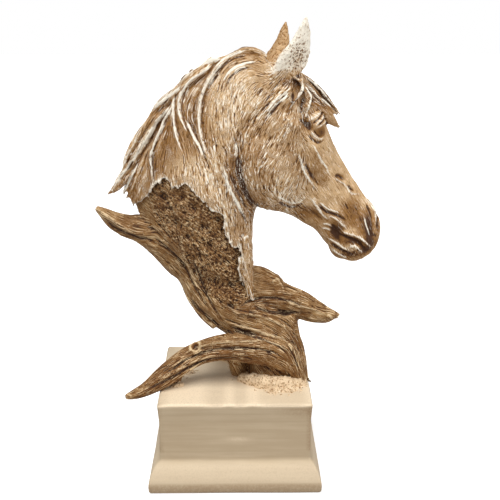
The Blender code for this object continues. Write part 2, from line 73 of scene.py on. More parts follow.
@dataclass(frozen=True)
class Grid:
    """The figure's drawing grid, standing on the plinth's top."""

    unit: float
    floor: float
    drawn_top: float = 274.0
    head_turn: float = math.radians(16)
    head_pivot_x: float = 20.0

    @classmethod
    def from_frame(cls) -> "Grid":
        """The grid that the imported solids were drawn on."""
        _, plinth_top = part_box(PLINTH_NODE)
        _, figure_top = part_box(CASTING_NODE)
        return cls(unit=(figure_top.z - plinth_top.z) / cls.drawn_top, floor=plinth_top.z)

    def straight(self, x: float, y: float, z: float) -> Vector:
        """A point of the neck's and driftwood's drawing, which is not turned."""
        return Vector((x, y, z))

    def turned(self, x: float, y: float, z: float) -> Vector:
        """A point of the head's own drawing, turned about the upright line through the poll."""
        along = x - self.head_pivot_x
        cosine, sine = math.cos(self.head_turn), math.sin(self.head_turn)
        return Vector((self.head_pivot_x + along * cosine - y * sine, along * sine + y * cosine, z))

    def in_head(self, points: np.ndarray) -> np.ndarray:
        """Points taken back to the head's own drawing."""
        cosine, sine = math.cos(self.head_turn), math.sin(self.head_turn)
        x, y = points[:, 0] - self.head_pivot_x, points[:, 1]
        along = self.head_pivot_x + x * cosine + y * sine
        return np.column_stack([along, y * cosine - x * sine, points[:, 2]])

    def to_frame(self) -> Matrix:
        """The matrix from drawn units to the frame's metres."""
        return Matrix.Translation((0, 0, self.floor)) @ Matrix.Scale(self.unit, 4)


def smooth_route(points: Sequence[Point], steps: int) -> np.ndarray:
    """Points along a smooth curve through the given ones.

    Args:
        points: the curve's own points, of any dimension.
        steps: how many points each span is given.

    Returns:
        The curve's points, the last given one included.
    """
    knots = np.array(points, float)
    padded = np.vstack([2 * knots[0] - knots[1], knots, 2 * knots[-1] - knots[-2]])
    route = []
    for p0, p1, p2, p3 in zip(padded, padded[1:], padded[2:], padded[3:]):
        for t in np.linspace(0, 1, steps, endpoint=False):
            bend = (2 * p0 - 5 * p1 + 4 * p2 - p3) * t**2 + (3 * p1 - p0 - 3 * p2 + p3) * t**3
            route.append(0.5 * (2 * p1 + (p2 - p0) * t + bend))
    route.append(knots[-1])
    return np.array(route)


def evenly_spaced(route: np.ndarray, spacing: float) -> np.ndarray:
    """The same route with its points a given distance apart."""
    steps = np.linalg.norm(np.diff(route, axis=0), axis=1)
    reach = np.concatenate([[0], np.cumsum(steps)])
    count = max(int(reach[-1] / spacing), 2)
    marks = np.linspace(0, reach[-1], count + 1)
    return np.column_stack([np.interp(marks, reach, route[:, k]) for k in range(route.shape[1])])


def unit_rows(rows: np.ndarray) -> np.ndarray:
    """Each row scaled to length one."""
    return rows / np.maximum(np.linalg.norm(rows, axis=1), 1e-9)[:, None]


def inside_outline(x: np.ndarray, z: np.ndarray, outline: Sequence[Point]) -> np.ndarray:
    """Which points lie inside a closed side-view outline.

    Args:
        x: the points' x.
        z: the points' z.
        outline: the outline's x and z points.

    Returns:
        True for each point inside.
    """
    inside = np.zeros(len(x), bool)
    for (ax, az), (bx, bz) in zip(outline, list(outline[1:]) + [outline[0]]):
        crosses = (az > z) != (bz > z)
        level = (z - az) / (bz - az) if bz != az else 0.0
        inside ^= crosses & (x < ax + level * (bx - ax))
    return inside


def outline_distance(x: np.ndarray, z: np.ndarray, outline: Sequence[Point]) -> np.ndarray:
    """How far inside a closed side-view outline each point lies.

    Args:
        x: the points' x.
        z: the points' z.
        outline: the outline's x and z points.

    Returns:
        The distances, negative outside.
    """
    nearest = np.full(len(x), 1e9)
    for (ax, az), (bx, bz) in zip(outline, list(outline[1:]) + [outline[0]]):
        dx, dz = bx - ax, bz - az
        share = np.clip(((x - ax) * dx + (z - az) * dz) / (dx * dx + dz * dz), 0, 1)
        nearest = np.minimum(nearest, (x - ax - share * dx) ** 2 + (z - az - share * dz) ** 2)
    return np.sqrt(nearest) * np.where(inside_outline(x, z, outline), 1, -1)


def ramp(values: np.ndarray, low: float, high: float) -> np.ndarray:
    """Zero below low, one above high and smooth between them."""
    t = np.clip((values - low) / (high - low), 0, 1)
    return t * t * (3 - 2 * t)


def spot(x: np.ndarray, z: np.ndarray, middle: Point, reach: Point) -> np.ndarray:
    """A soft patch that is one at its middle and falls away over its reach each way."""
    return np.exp(-(((x - middle[0]) / reach[0]) ** 2) - ((z - middle[1]) / reach[1]) ** 2)


def point_tree(points: Iterable[Point]) -> KDTree:
    """A search tree of these points."""
    rows = list(points)
    tree = KDTree(len(rows))
    for i, point in enumerate(rows):
        tree.insert(point, i)
    tree.balance()
    return tree


# Working with Blender's own tools


def pick_only(obj: bpy.types.Object) -> None:
    """Selects one object and makes it the active one."""
    bpy.ops.object.select_all(action="DESELECT")
    obj.select_set(True)
    bpy.context.view_layer.objects.active = obj


def apply_modifier(obj: bpy.types.Object, kind: str, **settings: object) -> None:
    """Gives an object a modifier with these settings and applies it."""
    modifier = obj.modifiers.new(kind.title(), kind)
    for key, value in settings.items():
        setattr(modifier, key, value)
    pick_only(obj)
    bpy.ops.object.modifier_apply(modifier=modifier.name)


def linked_object(name: str, mesh: bpy.types.Mesh) -> bpy.types.Object:
    """A new object of this mesh in the scene."""
    obj = bpy.data.objects.new(name, mesh)
    bpy.context.scene.collection.objects.link(obj)
    return obj


def mesh_rows(items: bpy.types.bpy_prop_collection, name: str) -> np.ndarray:
    """The vector of this name that each of a mesh's points or normals has."""
    flat = np.empty(len(items) * 3, np.float32)
    items.foreach_get(name, flat)
    return flat.reshape(-1, 3).astype(float)


def mark_points(mesh: bpy.types.Mesh, name: str, values: np.ndarray) -> None:
    """Stores a value or a vector for each of a mesh's points, for the finish to read."""
    wide = values.ndim == 2
    kind = "FLOAT_VECTOR" if wide else "FLOAT"
    layer = mesh.attributes.get(name) or mesh.attributes.new(name, kind, "POINT")
    layer.data.foreach_set("vector" if wide else "value", values.astype(np.float32).ravel())


def triangle_count(obj: bpy.types.Object) -> int:
    """How many triangles the object's mesh has."""
    return sum(len(polygon.vertices) - 2 for polygon in obj.data.polygons)


def thin_to(obj: bpy.types.Object, budget: int) -> None:
    """Collapses the flattest faces until the mesh keeps within a number of triangles."""
    count = triangle_count(obj)
    if count > budget:
        apply_modifier(obj, "DECIMATE", ratio=budget / count)


def register(obj: bpy.types.Object, node: str) -> None:
    """Hands a finished piece to the frame in place of a solid."""
    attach(obj, BODY)
    if node:
        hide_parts(node)
    LOG.info("%s: %d triangles", obj.name, triangle_count(obj))


class Clay:
    """Overlapping closed skins on the drawing grid, before they are fused into one."""

    def __init__(self, grid: Grid) -> None:
        """Starts with no clay."""
        self.grid = grid
        self.bm = bmesh.new()

    def bridge(self, rings: Sequence[Sequence[Vector]]) -> None:
        """Joins a row of point rings into one closed skin with a fan at each end.

        Args:
            rings: the rings' points, in order.
        """
        rows = [[self.bm.verts.new(p) for p in ring] for ring in rings]
        for low, high in zip(rows, rows[1:]):
            for i, corner in enumerate(low):
                j = (i + 1) % len(low)
                self.bm.faces.new((corner, low[j], high[j], high[i]))
        for row, first in ((rows[0], True), (rows[-1], False)):
            middle = self.bm.verts.new(sum((v.co for v in row), Vector()) / len(row))
            for a, b in zip(row, row[1:] + row[:1]):
                self.bm.faces.new((b, a, middle) if first else (a, b, middle))

    def section_ring(self, section: Sequence[float], place: Place, sides: int = 40) -> list[Vector]:
        """One body cross-section.

        Args:
            section: top x, top z, bottom x, bottom z, and half widths near the top, at the middle, low down.
            place: turns a drawn point into a point of the grid.
            sides: how many points the ring has.

        Returns:
            The ring's points.
        """
        top_x, top_z, bottom_x, bottom_z, wide_top, wide_middle, wide_low = section
        shoulder = 0.85
        round_off = 0.7
        at_shoulder = (2 * math.sqrt(shoulder * (1 - shoulder))) ** round_off
        up, down = wide_top / at_shoulder, wide_low / at_shoulder
        ring = []
        for i in range(sides):
            angle = 2 * math.pi * (i + 0.5) / sides
            share = (1 + math.cos(angle)) / 2
            span = (share - 0.5) / (shoulder - 0.5)
            width = wide_middle + span * (up - down) / 2 + span**2 * ((up + down) / 2 - wide_middle)
            across = math.copysign(abs(math.sin(angle)) ** round_off, math.sin(angle)) * max(width, 1.0)
            x = bottom_x + (top_x - bottom_x) * share
            ring.append(place(x, across, bottom_z + (top_z - bottom_z) * share))
        return ring

    def loft(self, sections: Sequence[Point], place: Place, steps: int = 5) -> None:
        """A body through a row of cross-sections, eased between them."""
        self.bridge([self.section_ring(s, place) for s in smooth_route(sections, steps)])

    def limb(
        self, stations: Sequence[Point], place: Place, sides: int = 18, steps: int = 5, flat: float = 1.0
    ) -> None:
        """A tapering round limb.

        Args:
            stations: x, y, z and a radius along the limb's middle.
            place: turns a drawn point into a point of the grid.
            sides: how many sides the limb has.
            steps: how many rings each span is given.
            flat: how wide the limb is across, as a share of its height.
        """
        route = smooth_route(stations, steps)
        rings = []
        side = Vector((0, 1, 0))
        for i, (x, y, z, radius) in enumerate(route):
            forward = Vector(route[min(i + 1, len(route) - 1)][:3] - route[max(i - 1, 0)][:3]).normalized()
            side = (side - forward * side.dot(forward)).normalized()
            up = forward.cross(side)
            radius = max(radius, 0.6)
            ring = []
            for k in range(sides):
                angle = 2 * math.pi * k / sides
                offset = side * (math.cos(angle) * radius * flat) + up * (math.sin(angle) * radius)
                ring.append(place(*(Vector((x, y, z)) + offset)))
            rings.append(ring)
        self.bridge(rings)

    def ball(self, centre: Point, radii: Point, place: Place, tilt: float = 0.0) -> None:
        """An ellipsoid, tilted about the y axis."""
        shape = Matrix.Translation(centre) @ Matrix.Rotation(tilt, 4, "Y") @ Matrix.Diagonal((*radii, 1))
        made = bmesh.ops.create_uvsphere(self.bm, u_segments=32, v_segments=20, radius=1, matrix=shape)
        for vert in made["verts"]:
            vert.co = place(*vert.co)

    def tree(self) -> BVHTree:
        """A search tree of the clay so far."""
        self.bm.normal_update()
        return BVHTree.FromBMesh(self.bm)

    def fuse(self, name: str, voxel: float, smoothing: int = 2) -> bpy.types.Object:
        """Fuses the clay into one closed skin.

        Args:
            name: the new object's name.
            voxel: the size of the skin's faces, in drawn units.
            smoothing: how often the skin is smoothed.

        Returns:
            The fused object, still in drawn units.
        """
        bmesh.ops.recalc_face_normals(self.bm, faces=self.bm.faces)
        mesh = bpy.data.meshes.new(name)
        self.bm.to_mesh(mesh)
        self.bm.free()
        obj = linked_object(name, mesh)
        refuse(obj, voxel, smoothing)
        return obj


def refuse(obj: bpy.types.Object, voxel: float, smoothing: int) -> None:
    """Gives an object an even skin of faces of one size and smooths it."""
    apply_modifier(obj, "REMESH", mode="VOXEL", voxel_size=voxel)
    if smoothing:
        apply_modifier(obj, "SMOOTH", factor=0.5, iterations=smoothing)


def cut_with(obj: bpy.types.Object, cutter: bpy.types.Object, operation: str = "DIFFERENCE") -> None:
    """Cuts an object with another one, which is then removed."""
    apply_modifier(obj, "BOOLEAN", operation=operation, object=cutter, solver="MANIFOLD")
    bpy.data.objects.remove(cutter)


def prism(name: str, outline: Sequence[Point], half_depth: float) -> bpy.types.Object:
    """A side-view outline given a depth across the grid.

    Args:
        name: the new object's name.
        outline: x and z points.
        half_depth: how far it reaches to each side.

    Returns:
        The closed object.
    """
    bm = bmesh.new()
    front = [bm.verts.new((x, -half_depth, z)) for x, z in outline]
    bm.faces.new(front)
    made = bmesh.ops.extrude_face_region(bm, geom=list(bm.faces))
    moved = [item for item in made["geom"] if isinstance(item, bmesh.types.BMVert)]
    bmesh.ops.translate(bm, verts=moved, vec=(0, 2 * half_depth, 0))
    bmesh.ops.triangulate(bm, faces=bm.faces)
    bmesh.ops.recalc_face_normals(bm, faces=bm.faces)
    mesh = bpy.data.meshes.new(name)
    bm.to_mesh(mesh)
    bm.free()
    return linked_object(name, mesh)


# Strokes


class Shape(Enum):
    """How a stroke's height runs across its line."""

    ROUND = "round"
    FLAKE = "flake"


@dataclass(frozen=True)
class Stroke:
    """One stroke of the modelling tool, drawn on the side view.

    Its height is negative for a groove. A flake's edge falls off steeply on its lee side, +1 being the
    right of the line when it is followed from its first point downwards.
    """

    height: float
    breadth: float
    points: Sequence[Point]
    shape: Shape = Shape.ROUND
    lee: int = 1
    taper: float = 0.35


# How many strokes are summed at a time, and how many breadths a round stroke and a flake reach
CHUNK = 400
ROUND_REACH = 1.9
FLAKE_REACH = 6.5


def drawn(rows: Sequence[tuple], shape: Shape = Shape.ROUND) -> tuple[Stroke, ...]:
    """Strokes of one shape, from rows of height, half breadth and x, z points."""
    return tuple(Stroke(*row, shape) for row in rows)


def across_profile(shape: Shape, offset: np.ndarray) -> np.ndarray:
    """A stroke's height across its line, from the offset in breadths."""
    if shape is Shape.ROUND:
        return np.exp(-(offset**2))
    crest = np.exp(-((offset / np.where(offset > 0, 0.6, 1.4)) ** 2))
    lee = ramp(offset, 0.55, 1.3) * np.exp(-np.maximum(offset - 1.3, 0) / 2.0)
    return crest - 0.65 * lee


class Comb:
    """The way that hair or grain lies: directions blended from nearby guide lines."""

    def __init__(self, routes: Iterable[np.ndarray]) -> None:
        """Takes guide lines as rows of points on the grid."""
        spaced = [evenly_spaced(route, 4.0) for route in routes]
        self.middles = np.vstack([(r[1:] + r[:-1]) / 2 for r in spaced])
        self.directions = np.vstack([unit_rows(np.diff(r, axis=0)) for r in spaced])

    def at(self, points: np.ndarray) -> np.ndarray:
        """The blended direction at each point, not yet laid on the skin.

        Args:
            points: points on the grid.

        Returns:
            A direction for each, not yet laid on the skin.
        """
        blended = np.empty_like(points)
        for start in range(0, len(points), 4000):
            part = points[start : start + 4000]
            apart = ((part[:, None, :] - self.middles[None]) ** 2).sum(2)
            weight = 1 / (apart + 3.0) ** 1.6
            blended[start : start + 4000] = weight @ self.directions
        return unit_rows(blended)


class Skin:
    """A mesh's points and normals, worked by strokes along its surface."""

    def __init__(self, obj: bpy.types.Object, grid: Grid) -> None:
        """Reads the object's mesh."""
        self.obj = obj
        self.grid = grid
        self.marks: dict[str, np.ndarray] = {}
        flat = np.empty(len(obj.data.edges) * 2, np.int32)
        obj.data.edges.foreach_get("vertices", flat)
        self.edges = flat.reshape(-1, 2)
        self.degree = np.bincount(flat, minlength=len(obj.data.vertices)).astype(float)
        self.read()

    def read(self) -> None:
        """Takes the points, normals and search tree from the mesh as it now is."""
        self.points = mesh_rows(self.obj.data.vertices, "co")
        self.normals = mesh_rows(self.obj.data.vertex_normals, "vector")
        self.tree = point_tree(self.points)

    def write(self) -> None:
        """Puts the points back into the mesh."""
        self.obj.data.vertices.foreach_set("co", self.points.astype(np.float32).ravel())
        self.obj.data.update()

    def surface(self) -> BVHTree:
        """A search tree of the mesh's faces."""
        return BVHTree.FromObject(self.obj, bpy.context.evaluated_depsgraph_get())

    def push(self, heights: np.ndarray) -> None:
        """Moves each point along its normal and reads the new normals."""
        self.points += self.normals * heights[:, None]
        self.write()
        self.read()

    def lay(self, line: Sequence[Point], side: int, place: Place, surface: BVHTree) -> np.ndarray:
        """Lays a side-view line on the skin.

        Args:
            line: x and z points.
            side: -1 for the near side, 1 for the far one.
            place: turns a drawn point into a point of the grid.
            surface: the faces that the line is laid on.

        Returns:
            The points found on the skin, which may be none.
        """
        found = []
        for x, z in smooth_route(line, 6) if len(line) > 2 else evenly_spaced(np.array(line, float), 1.0):
            start = place(x, side * OUTSIDE, z)
            way = (place(x, 0.0, z) - start).normalized()
            hit, _, _, _ = surface.ray_cast(start, way)
            if hit is not None and (hit - start).length < OUTSIDE:
                found.append(tuple(hit))
        return np.array(found).reshape(-1, 3)

    def nearest(self, points: np.ndarray) -> np.ndarray:
        """The number of the skin's point nearest to each given one."""
        return np.array([self.tree.find(p)[1] for p in points], int)

    def stroke_heights(
        self,
        routes: Sequence[np.ndarray],
        height: np.ndarray,
        breadth: np.ndarray,
        shape: Shape = Shape.ROUND,
        lee: int = 1,
        taper: float = 0.35,
    ) -> np.ndarray:
        """What a set of strokes adds to the skin, each as a row of soft dabs.

        Args:
            routes: each stroke's points, already on the skin.
            height: each stroke's height.
            breadth: each stroke's half breadth.
            shape: how the height runs across.
            lee: the steep side of a flake.
            taper: the share of a stroke's length over which it thins out at its end.

        Returns:
            A height for each of the skin's points.
        """
        spacing = max(float(np.median(breadth)) * 0.8, 0.35)
        dabs, ways, raises, widths = [], [], [], []
        for route, tall, wide in zip(routes, height, breadth):
            if len(route) < 2:
                continue
            spaced = evenly_spaced(route, spacing)
            share = np.linspace(0, 1, len(spaced))
            thin = np.clip(share / 0.12, 0.25, 1) * np.clip((1 - share) / taper, 0.0, 1) ** 0.7
            dabs.append(spaced)
            ways.append(unit_rows(np.gradient(spaced, axis=0)))
            raises.append(tall * thin)
            widths.append(wide * (0.45 + 0.55 * thin))
        if not dabs:
            return np.zeros(len(self.points))
        dabs, ways = np.vstack(dabs), np.vstack(ways)
        raises, widths = np.concatenate(raises), np.concatenate(widths)
        reach = float(widths.max()) * (ROUND_REACH if shape is Shape.ROUND else FLAKE_REACH)
        owner, touched = [], []
        normals = np.empty_like(dabs)
        for i, dab in enumerate(dabs):
            near = [index for _, index, _ in self.tree.find_range(dab, reach)]
            normals[i] = self.normals[near].mean(0) if near else (0, 0, 1)
            owner.append(np.full(len(near), i))
            touched.append(np.array(near, int))
        owner, touched = np.concatenate(owner), np.concatenate(touched)
        across = unit_rows(np.cross(unit_rows(normals), ways)) * lee
        apart = self.points[touched] - dabs[owner]
        along = (apart * ways[owner]).sum(1)
        offset = (apart * across[owner]).sum(1) / widths[owner]
        depth = np.abs((apart * unit_rows(normals)[owner]).sum(1))
        dab_weight = np.exp(-((along / spacing) ** 2)) / math.sqrt(math.pi)
        facing = (self.normals[touched] * unit_rows(normals)[owner]).sum(1) > 0.1
        value = raises[owner] * dab_weight * across_profile(shape, offset) * facing
        value *= np.exp(-((depth / (reach * 0.8 + 1.0)) ** 2))
        return np.bincount(touched, value, minlength=len(self.points))

    def work(
        self, strokes: Sequence[Stroke], place: Place, surface: BVHTree, sides: Sequence[int] = (-1, 1)
    ) -> np.ndarray:
        """What drawn strokes add to the skin.

        Args:
            strokes: the strokes, drawn on the side view.
            place: turns a drawn point into a point of the grid.
            surface: the faces that the strokes are laid on.
            sides: -1 for the near side, 1 for the far one.

        Returns:
            A height for each of the skin's points.
        """
        total = np.zeros(len(self.points))
        for stroke in strokes:
            for side in sides:
                route = self.lay(stroke.points, side, place, surface)
                if len(route) < 2:
                    continue
                total += self.stroke_heights(
                    [route],
                    np.array([stroke.height]),
                    np.array([stroke.breadth]),
                    stroke.shape,
                    stroke.lee * -side,
                    stroke.taper,
                )
        return total

    def strands(
        self,
        seeds: np.ndarray,
        comb: Comb,
        lengths: np.ndarray,
        stray: np.ndarray,
        spacing: float,
    ) -> list[np.ndarray]:
        """Lines that follow the comb over the skin.

        Args:
            seeds: the numbers of the points where the lines start.
            comb: the way that they lie.
            lengths: each line's length.
            stray: how far each line turns off the comb, in radians.
            spacing: the distance between a line's points.

        Returns:
            Each line's points.
        """
        here = self.points[seeds].copy()
        steps = np.maximum((lengths / spacing).astype(int), 2)
        trail = [here.copy()]
        for _ in range(int(steps.max())):
            index = self.nearest(here)
            normal = self.normals[index]
            here -= normal * ((here - self.points[index]) * normal).sum(1)[:, None]
            way = comb.at(here)
            way = unit_rows(way - normal * (way * normal).sum(1)[:, None])
            sideways = np.cross(normal, way)
            way = way * np.cos(stray)[:, None] + sideways * np.sin(stray)[:, None]
            here = here + way * spacing
            trail.append(here.copy())
        trail = np.array(trail)
        return [trail[: steps[i] + 1, i] for i in range(len(seeds))]

    def comb_out(
        self,
        chance: np.random.Generator,
        where: np.ndarray,
        comb: Comb,
        count: int,
        length: Point,
        height: Point,
        breadth: Point,
        stray: float,
        spacing: float = 0.9,
    ) -> np.ndarray:
        """What a coat of many fine strands adds to the skin.

        Args:
            chance: the source of random numbers.
            where: how likely a strand is at each point, from 0 to 1.
            comb: the way that they lie.
            count: how many strands there are.
            length: the shortest and longest strand.
            height: the lowest and highest strand.
            breadth: the narrowest and widest strand.
            stray: how far strands turn off the comb, in radians.
            spacing: the distance between a strand's points.

        Returns:
            A height for each of the skin's points.
        """
        odds = np.clip(where, 0, None)
        if odds.sum() <= 0:
            return np.zeros(len(self.points))
        seeds = chance.choice(len(self.points), size=count, p=odds / odds.sum())
        lengths = chance.uniform(*length, count)
        turns = chance.normal(0, stray, count)
        routes = self.strands(seeds, comb, lengths, turns, spacing)
        heights, breadths = chance.uniform(*height, count), chance.uniform(*breadth, count)
        total = np.zeros(len(self.points))
        for low in range(0, count, CHUNK):
            part = slice(low, low + CHUNK)
            total += self.stroke_heights(routes[part], heights[part], breadths[part])
        return total

    def comb_layers(self, chance: np.random.Generator, comb: Comb, layers: Sequence[tuple]) -> np.ndarray:
        """What several coats of strands add to the skin.

        Args:
            chance: the source of random numbers.
            comb: the way that they lie.
            layers: 1 for ridges or -1 for grooves, then where, count, length, height, breadth and stray.

        Returns:
            A height for each of the skin's points.
        """
        few = 1.0
        total = np.zeros(len(self.points))
        for sign, where, count, *strands in layers:
            total += sign * self.comb_out(chance, where, comb, int(count * few), *strands)
        return total

    def neighbour_mean(self, values: np.ndarray, rounds: int) -> np.ndarray:
        """Values averaged with their neighbours'.

        Args:
            values: a value or a row of values for each point.
            rounds: how often they are averaged.

        Returns:
            The averaged values.
        """
        a, b = self.edges[:, 0], self.edges[:, 1]
        columns = values.reshape(len(values), -1).copy()
        size = len(values)
        for _ in range(rounds):
            for k in range(columns.shape[1]):
                column = columns[:, k]
                total = np.bincount(a, column[b], minlength=size) + np.bincount(b, column[a], minlength=size)
                columns[:, k] = 0.4 * column + 0.6 * total / np.maximum(self.degree, 1)
        return columns.reshape(values.shape)

    def bulge(self, rounds: int) -> np.ndarray:
        """How far each point stands out of the smoothed skin, negative in a hollow."""
        return ((self.points - self.neighbour_mean(self.points, rounds)) * self.normals).sum(1)

    def lay_patches(self, comb: Comb, chance: np.random.Generator, count: int, stretch: np.ndarray) -> None:
        """Gives every point its place along and across the hair or grain, in two sets of small patches.

        The finish draws lines finer than the mesh in these coordinates, and changes over from one set
        to the other where a patch ends.

        Args:
            comb: the way that the hair or grain lies.
            chance: the source of random numbers.
            count: how many patches each set has.
            stretch: for each point, how much longer its lines are than usual.
        """
        normals = unit_rows(self.neighbour_mean(self.normals, 12))
        ways = comb.at(self.points)
        ways = unit_rows(ways - normals * (ways * normals).sum(1)[:, None])
        across = np.cross(normals, ways)
        for name in ("strand_a", "strand_b"):
            seeds = chance.choice(len(self.points), size=count, replace=False)
            tree = point_tree(self.points[seeds])
            found = [tree.find_n(point, 2) for point in self.points]
            owner = np.array([near[0][1] for near in found])
            margin = np.array([near[1][2] - near[0][2] for near in found])
            apart = self.points - self.points[seeds[owner]]
            along = (apart * ways).sum(1) / stretch
            mark_points(self.obj.data, name, np.column_stack([along, (apart * across).sum(1), owner * 7.31]))
            if name == "strand_a":
                mark_points(self.obj.data, "strand_share", 1 - ramp(margin, 0.2, 2.6))


# Tables of the horse, in its own drawing

# Head cross-sections from the back of the skull to the lips:
# top x, top z, bottom x, bottom z, then the half widths near the top, at the middle and low down
HEAD_SECTIONS = (
    (6, 236, 2, 146, 12, 18, 14), (22, 242, 14, 137, 15, 23, 15), (37, 239, 26, 132.5, 18, 25, 15),
    (50, 228, 36, 130, 20, 25.5, 14), (60.5, 211, 46, 125.5, 21, 23, 12),
    (68.5, 195, 54, 120, 17, 18.5, 11), (76.8, 179, 61, 116, 11, 15.5, 11),
    (85.5, 165, 66, 111.5, 8, 13.5, 10), (94.5, 151, 71, 105, 8, 13, 10), (103, 139, 77, 98, 9, 14, 10.5),
    (110.5, 129, 84, 91, 11, 16, 11.5), (115.5, 119.5, 92, 87, 11, 15, 11.5),
    (116.5, 110, 101, 88, 8, 12, 8), (113.5, 103, 107, 92, 4, 6, 4),
)

# Neck cross-sections from inside the driftwood up to the poll
NECK_SECTIONS = (
    (-22, 80, 4, 66, 8, 12, 8), (-46, 96, 11, 82, 15, 23, 16), (-66, 112, 13.2, 104, 14, 27, 19),
    (-75, 131, 14.4, 126, 11, 29, 21), (-80, 157, 18, 140.5, 9, 29, 23), (-71, 187, 22, 152, 8, 26, 23),
    (-53, 211, 25, 167, 8, 24, 22), (-34, 230, 29, 184, 8, 22, 20), (-15, 243, 34, 200, 8, 19, 17),
    (4, 249, 38, 214, 8, 15, 13), (18, 249, 40, 224, 8, 12, 9),
)

# The lower edge of the neck's skin, torn off over the worm-eaten wood, from the mane's tips to the throat
TORN_EDGE = (
    (-90, 131), (-79, 134), (-72, 138), (-66, 143), (-61, 150), (-59.7, 154.8), (-55, 158.2),
    (-48.5, 161.2), (-44.5, 154.6), (-40.1, 155.7), (-33.5, 158.3), (-30.6, 155.6), (-28.5, 152.2),
    (-25.7, 148.7), (-19.3, 142.1), (-14.4, 138.8), (-8.7, 136.1), (-7.3, 131.3), (-8.1, 125.1),
    (-6, 118.3), (-1.7, 109.6), (2.7, 108), (4.2, 111.5), (4.9, 103.5), (2.7, 96.4), (2.6, 90.2),
    (6.4, 76.7), (10.1, 69.3), (13.1, 66.4),
)
BELOW_THE_EDGE = ((60, 66), (60, -30), (-120, -30), (-120, 130))

# Ear cross-sections: share of the way up, half width, depth of the cup
EAR_SECTIONS = (
    (0, 7, 7), (0.15, 9.6, 8), (0.3, 12, 8), (0.41, 11.8, 7.5), (0.53, 9.8, 6.5), (0.64, 7.9, 5.6),
    (0.76, 5.9, 4.6), (0.87, 3.8, 3.2), (0.95, 2, 2), (1, 0.9, 0.9),
)

# Locks of the mane as seen from the side, from root to tip: half thickness, then x, z points
MANE_LOCKS = (
    (1.0, ((4, 246), (-6, 242), (-17, 231), (-22, 220), (-25, 210), (-25, 200), (-23, 190), (-20, 183),
        (-18, 178))),
    (0.9, ((-31, 203), (-30, 193), (-27, 189), (-24, 181), (-21, 176))),
    (1.1, ((-8, 242), (-23, 233), (-37, 223), (-41, 214), (-41, 206), (-37, 198), (-32, 194))),
    (0.9, ((-40, 220), (-44, 210), (-45, 204), (-43, 196), (-41, 188), (-38, 179))),
    (1.0, ((-36, 217), (-45, 206), (-53, 190), (-58, 178), (-62, 172), (-62, 164), (-60, 155))),
    (1.7, ((-40, 219), (-53, 205), (-59, 196), (-67, 183), (-75, 171), (-81, 161), (-88, 152), (-94, 145))),
    (2.0, ((-26, 233), (-39, 223), (-50, 214.5), (-58, 207), (-65, 198))),
    (2.0, ((-14, 240), (-26, 233.5), (-38, 226), (-44, 219))),
    (2.4, ((24, 246), (14, 250), (4, 248.5), (-8, 242.5))),
    (2.6, ((-50, 210), (-62, 199), (-72, 186), (-79, 172), (-81, 160))),
    (2.0, ((-64, 178), (-70, 164), (-75, 151), (-81, 141))),
    (1.8, ((-66, 160), (-70, 147), (-74, 134))),
    (1.1, ((-52, 200), (-58, 186), (-68, 170), (-74, 158), (-82, 146))),
    (2.8, ((-72, 166), (-80, 157), (-87, 150), (-93, 145))),
)

# Locks of the far side that show past the outline: half thickness, then x, y, z points
FAR_LOCKS = (
    (2.0, ((-20, 6, 235.5), (-30, 8, 232.5), (-37, 8, 229), (-41, 7, 222))),
    (1.8, ((18, 8, 249), (9, 8, 250.7), (3, 7, 248.3), (-4, 6, 244))),
    (2.2, ((-46, 8, 214), (-56, 8, 206), (-66, 6, 195))),
)

# The strip of skin that runs down the throat over the wood: x, y, z and half width
STRIP = (
    (5, 15, 116, 5.5), (8, 14.5, 104, 5.5), (9, 14, 94, 5.2), (9.8, 14, 85, 4.4), (11.2, 14, 76, 3.2),
    (12.8, 14, 65, 1.6),
)

# Forelock strands over the brow, in the head's own drawing: half thickness, then x, y, z points
FORELOCK = (
    (2.6, ((36, 4, 237), (45, 3, 233), (54, 3, 227.6), (60, 4, 223.4), (66, 4, 217.8), (71, 4, 211.8),
        (76, 4, 206), (81, 4, 201.8))),
    (2.4, ((36, 8, 236), (46, 7, 231), (51, 9, 227), (56, 11, 221), (61, 11, 215.4), (67, 10, 209.6),
        (73, 8, 205), (77.5, 6, 202.4))),
    (1.6, ((40, 1, 239), (50, 2, 232.6), (56, 5, 228), (61, 7, 223.2), (66, 8, 217.2), (71.7, 7, 211.2),
        (77, 5, 206))),
    (2.0, ((40, 10, 234), (46, 15, 227), (50.3, 17, 221.5), (55, 16, 216), (60, 14, 211.4), (65, 12, 206))),
    (4.2, ((50, 15, 222), (58, 15, 213), (64, 13, 206), (69.5, 10, 200.5), (73, 8.5, 197.6),
        (78, 7, 193.6))),
    (1.2, ((40, 8, 238), (45.8, 12, 232.5), (44.4, 19, 229.7), (43, 23, 224.1), (40.6, 24.4, 221.1),
        (37.5, 25.4, 217.1), (34, 26, 213), (32, 26, 210))),
    (1.3, ((42, 8, 237), (46.6, 12, 232), (45.5, 18, 227), (48, 21, 221.9), (49.7, 22.4, 218),
        (47.9, 24.4, 213.3), (46.4, 25, 208), (45, 25.4, 203.6))),
    (1.4, ((38, 12, 234), (44, 19, 228), (46.5, 22.5, 220), (45, 24.5, 213), (42, 25.5, 207))),
)

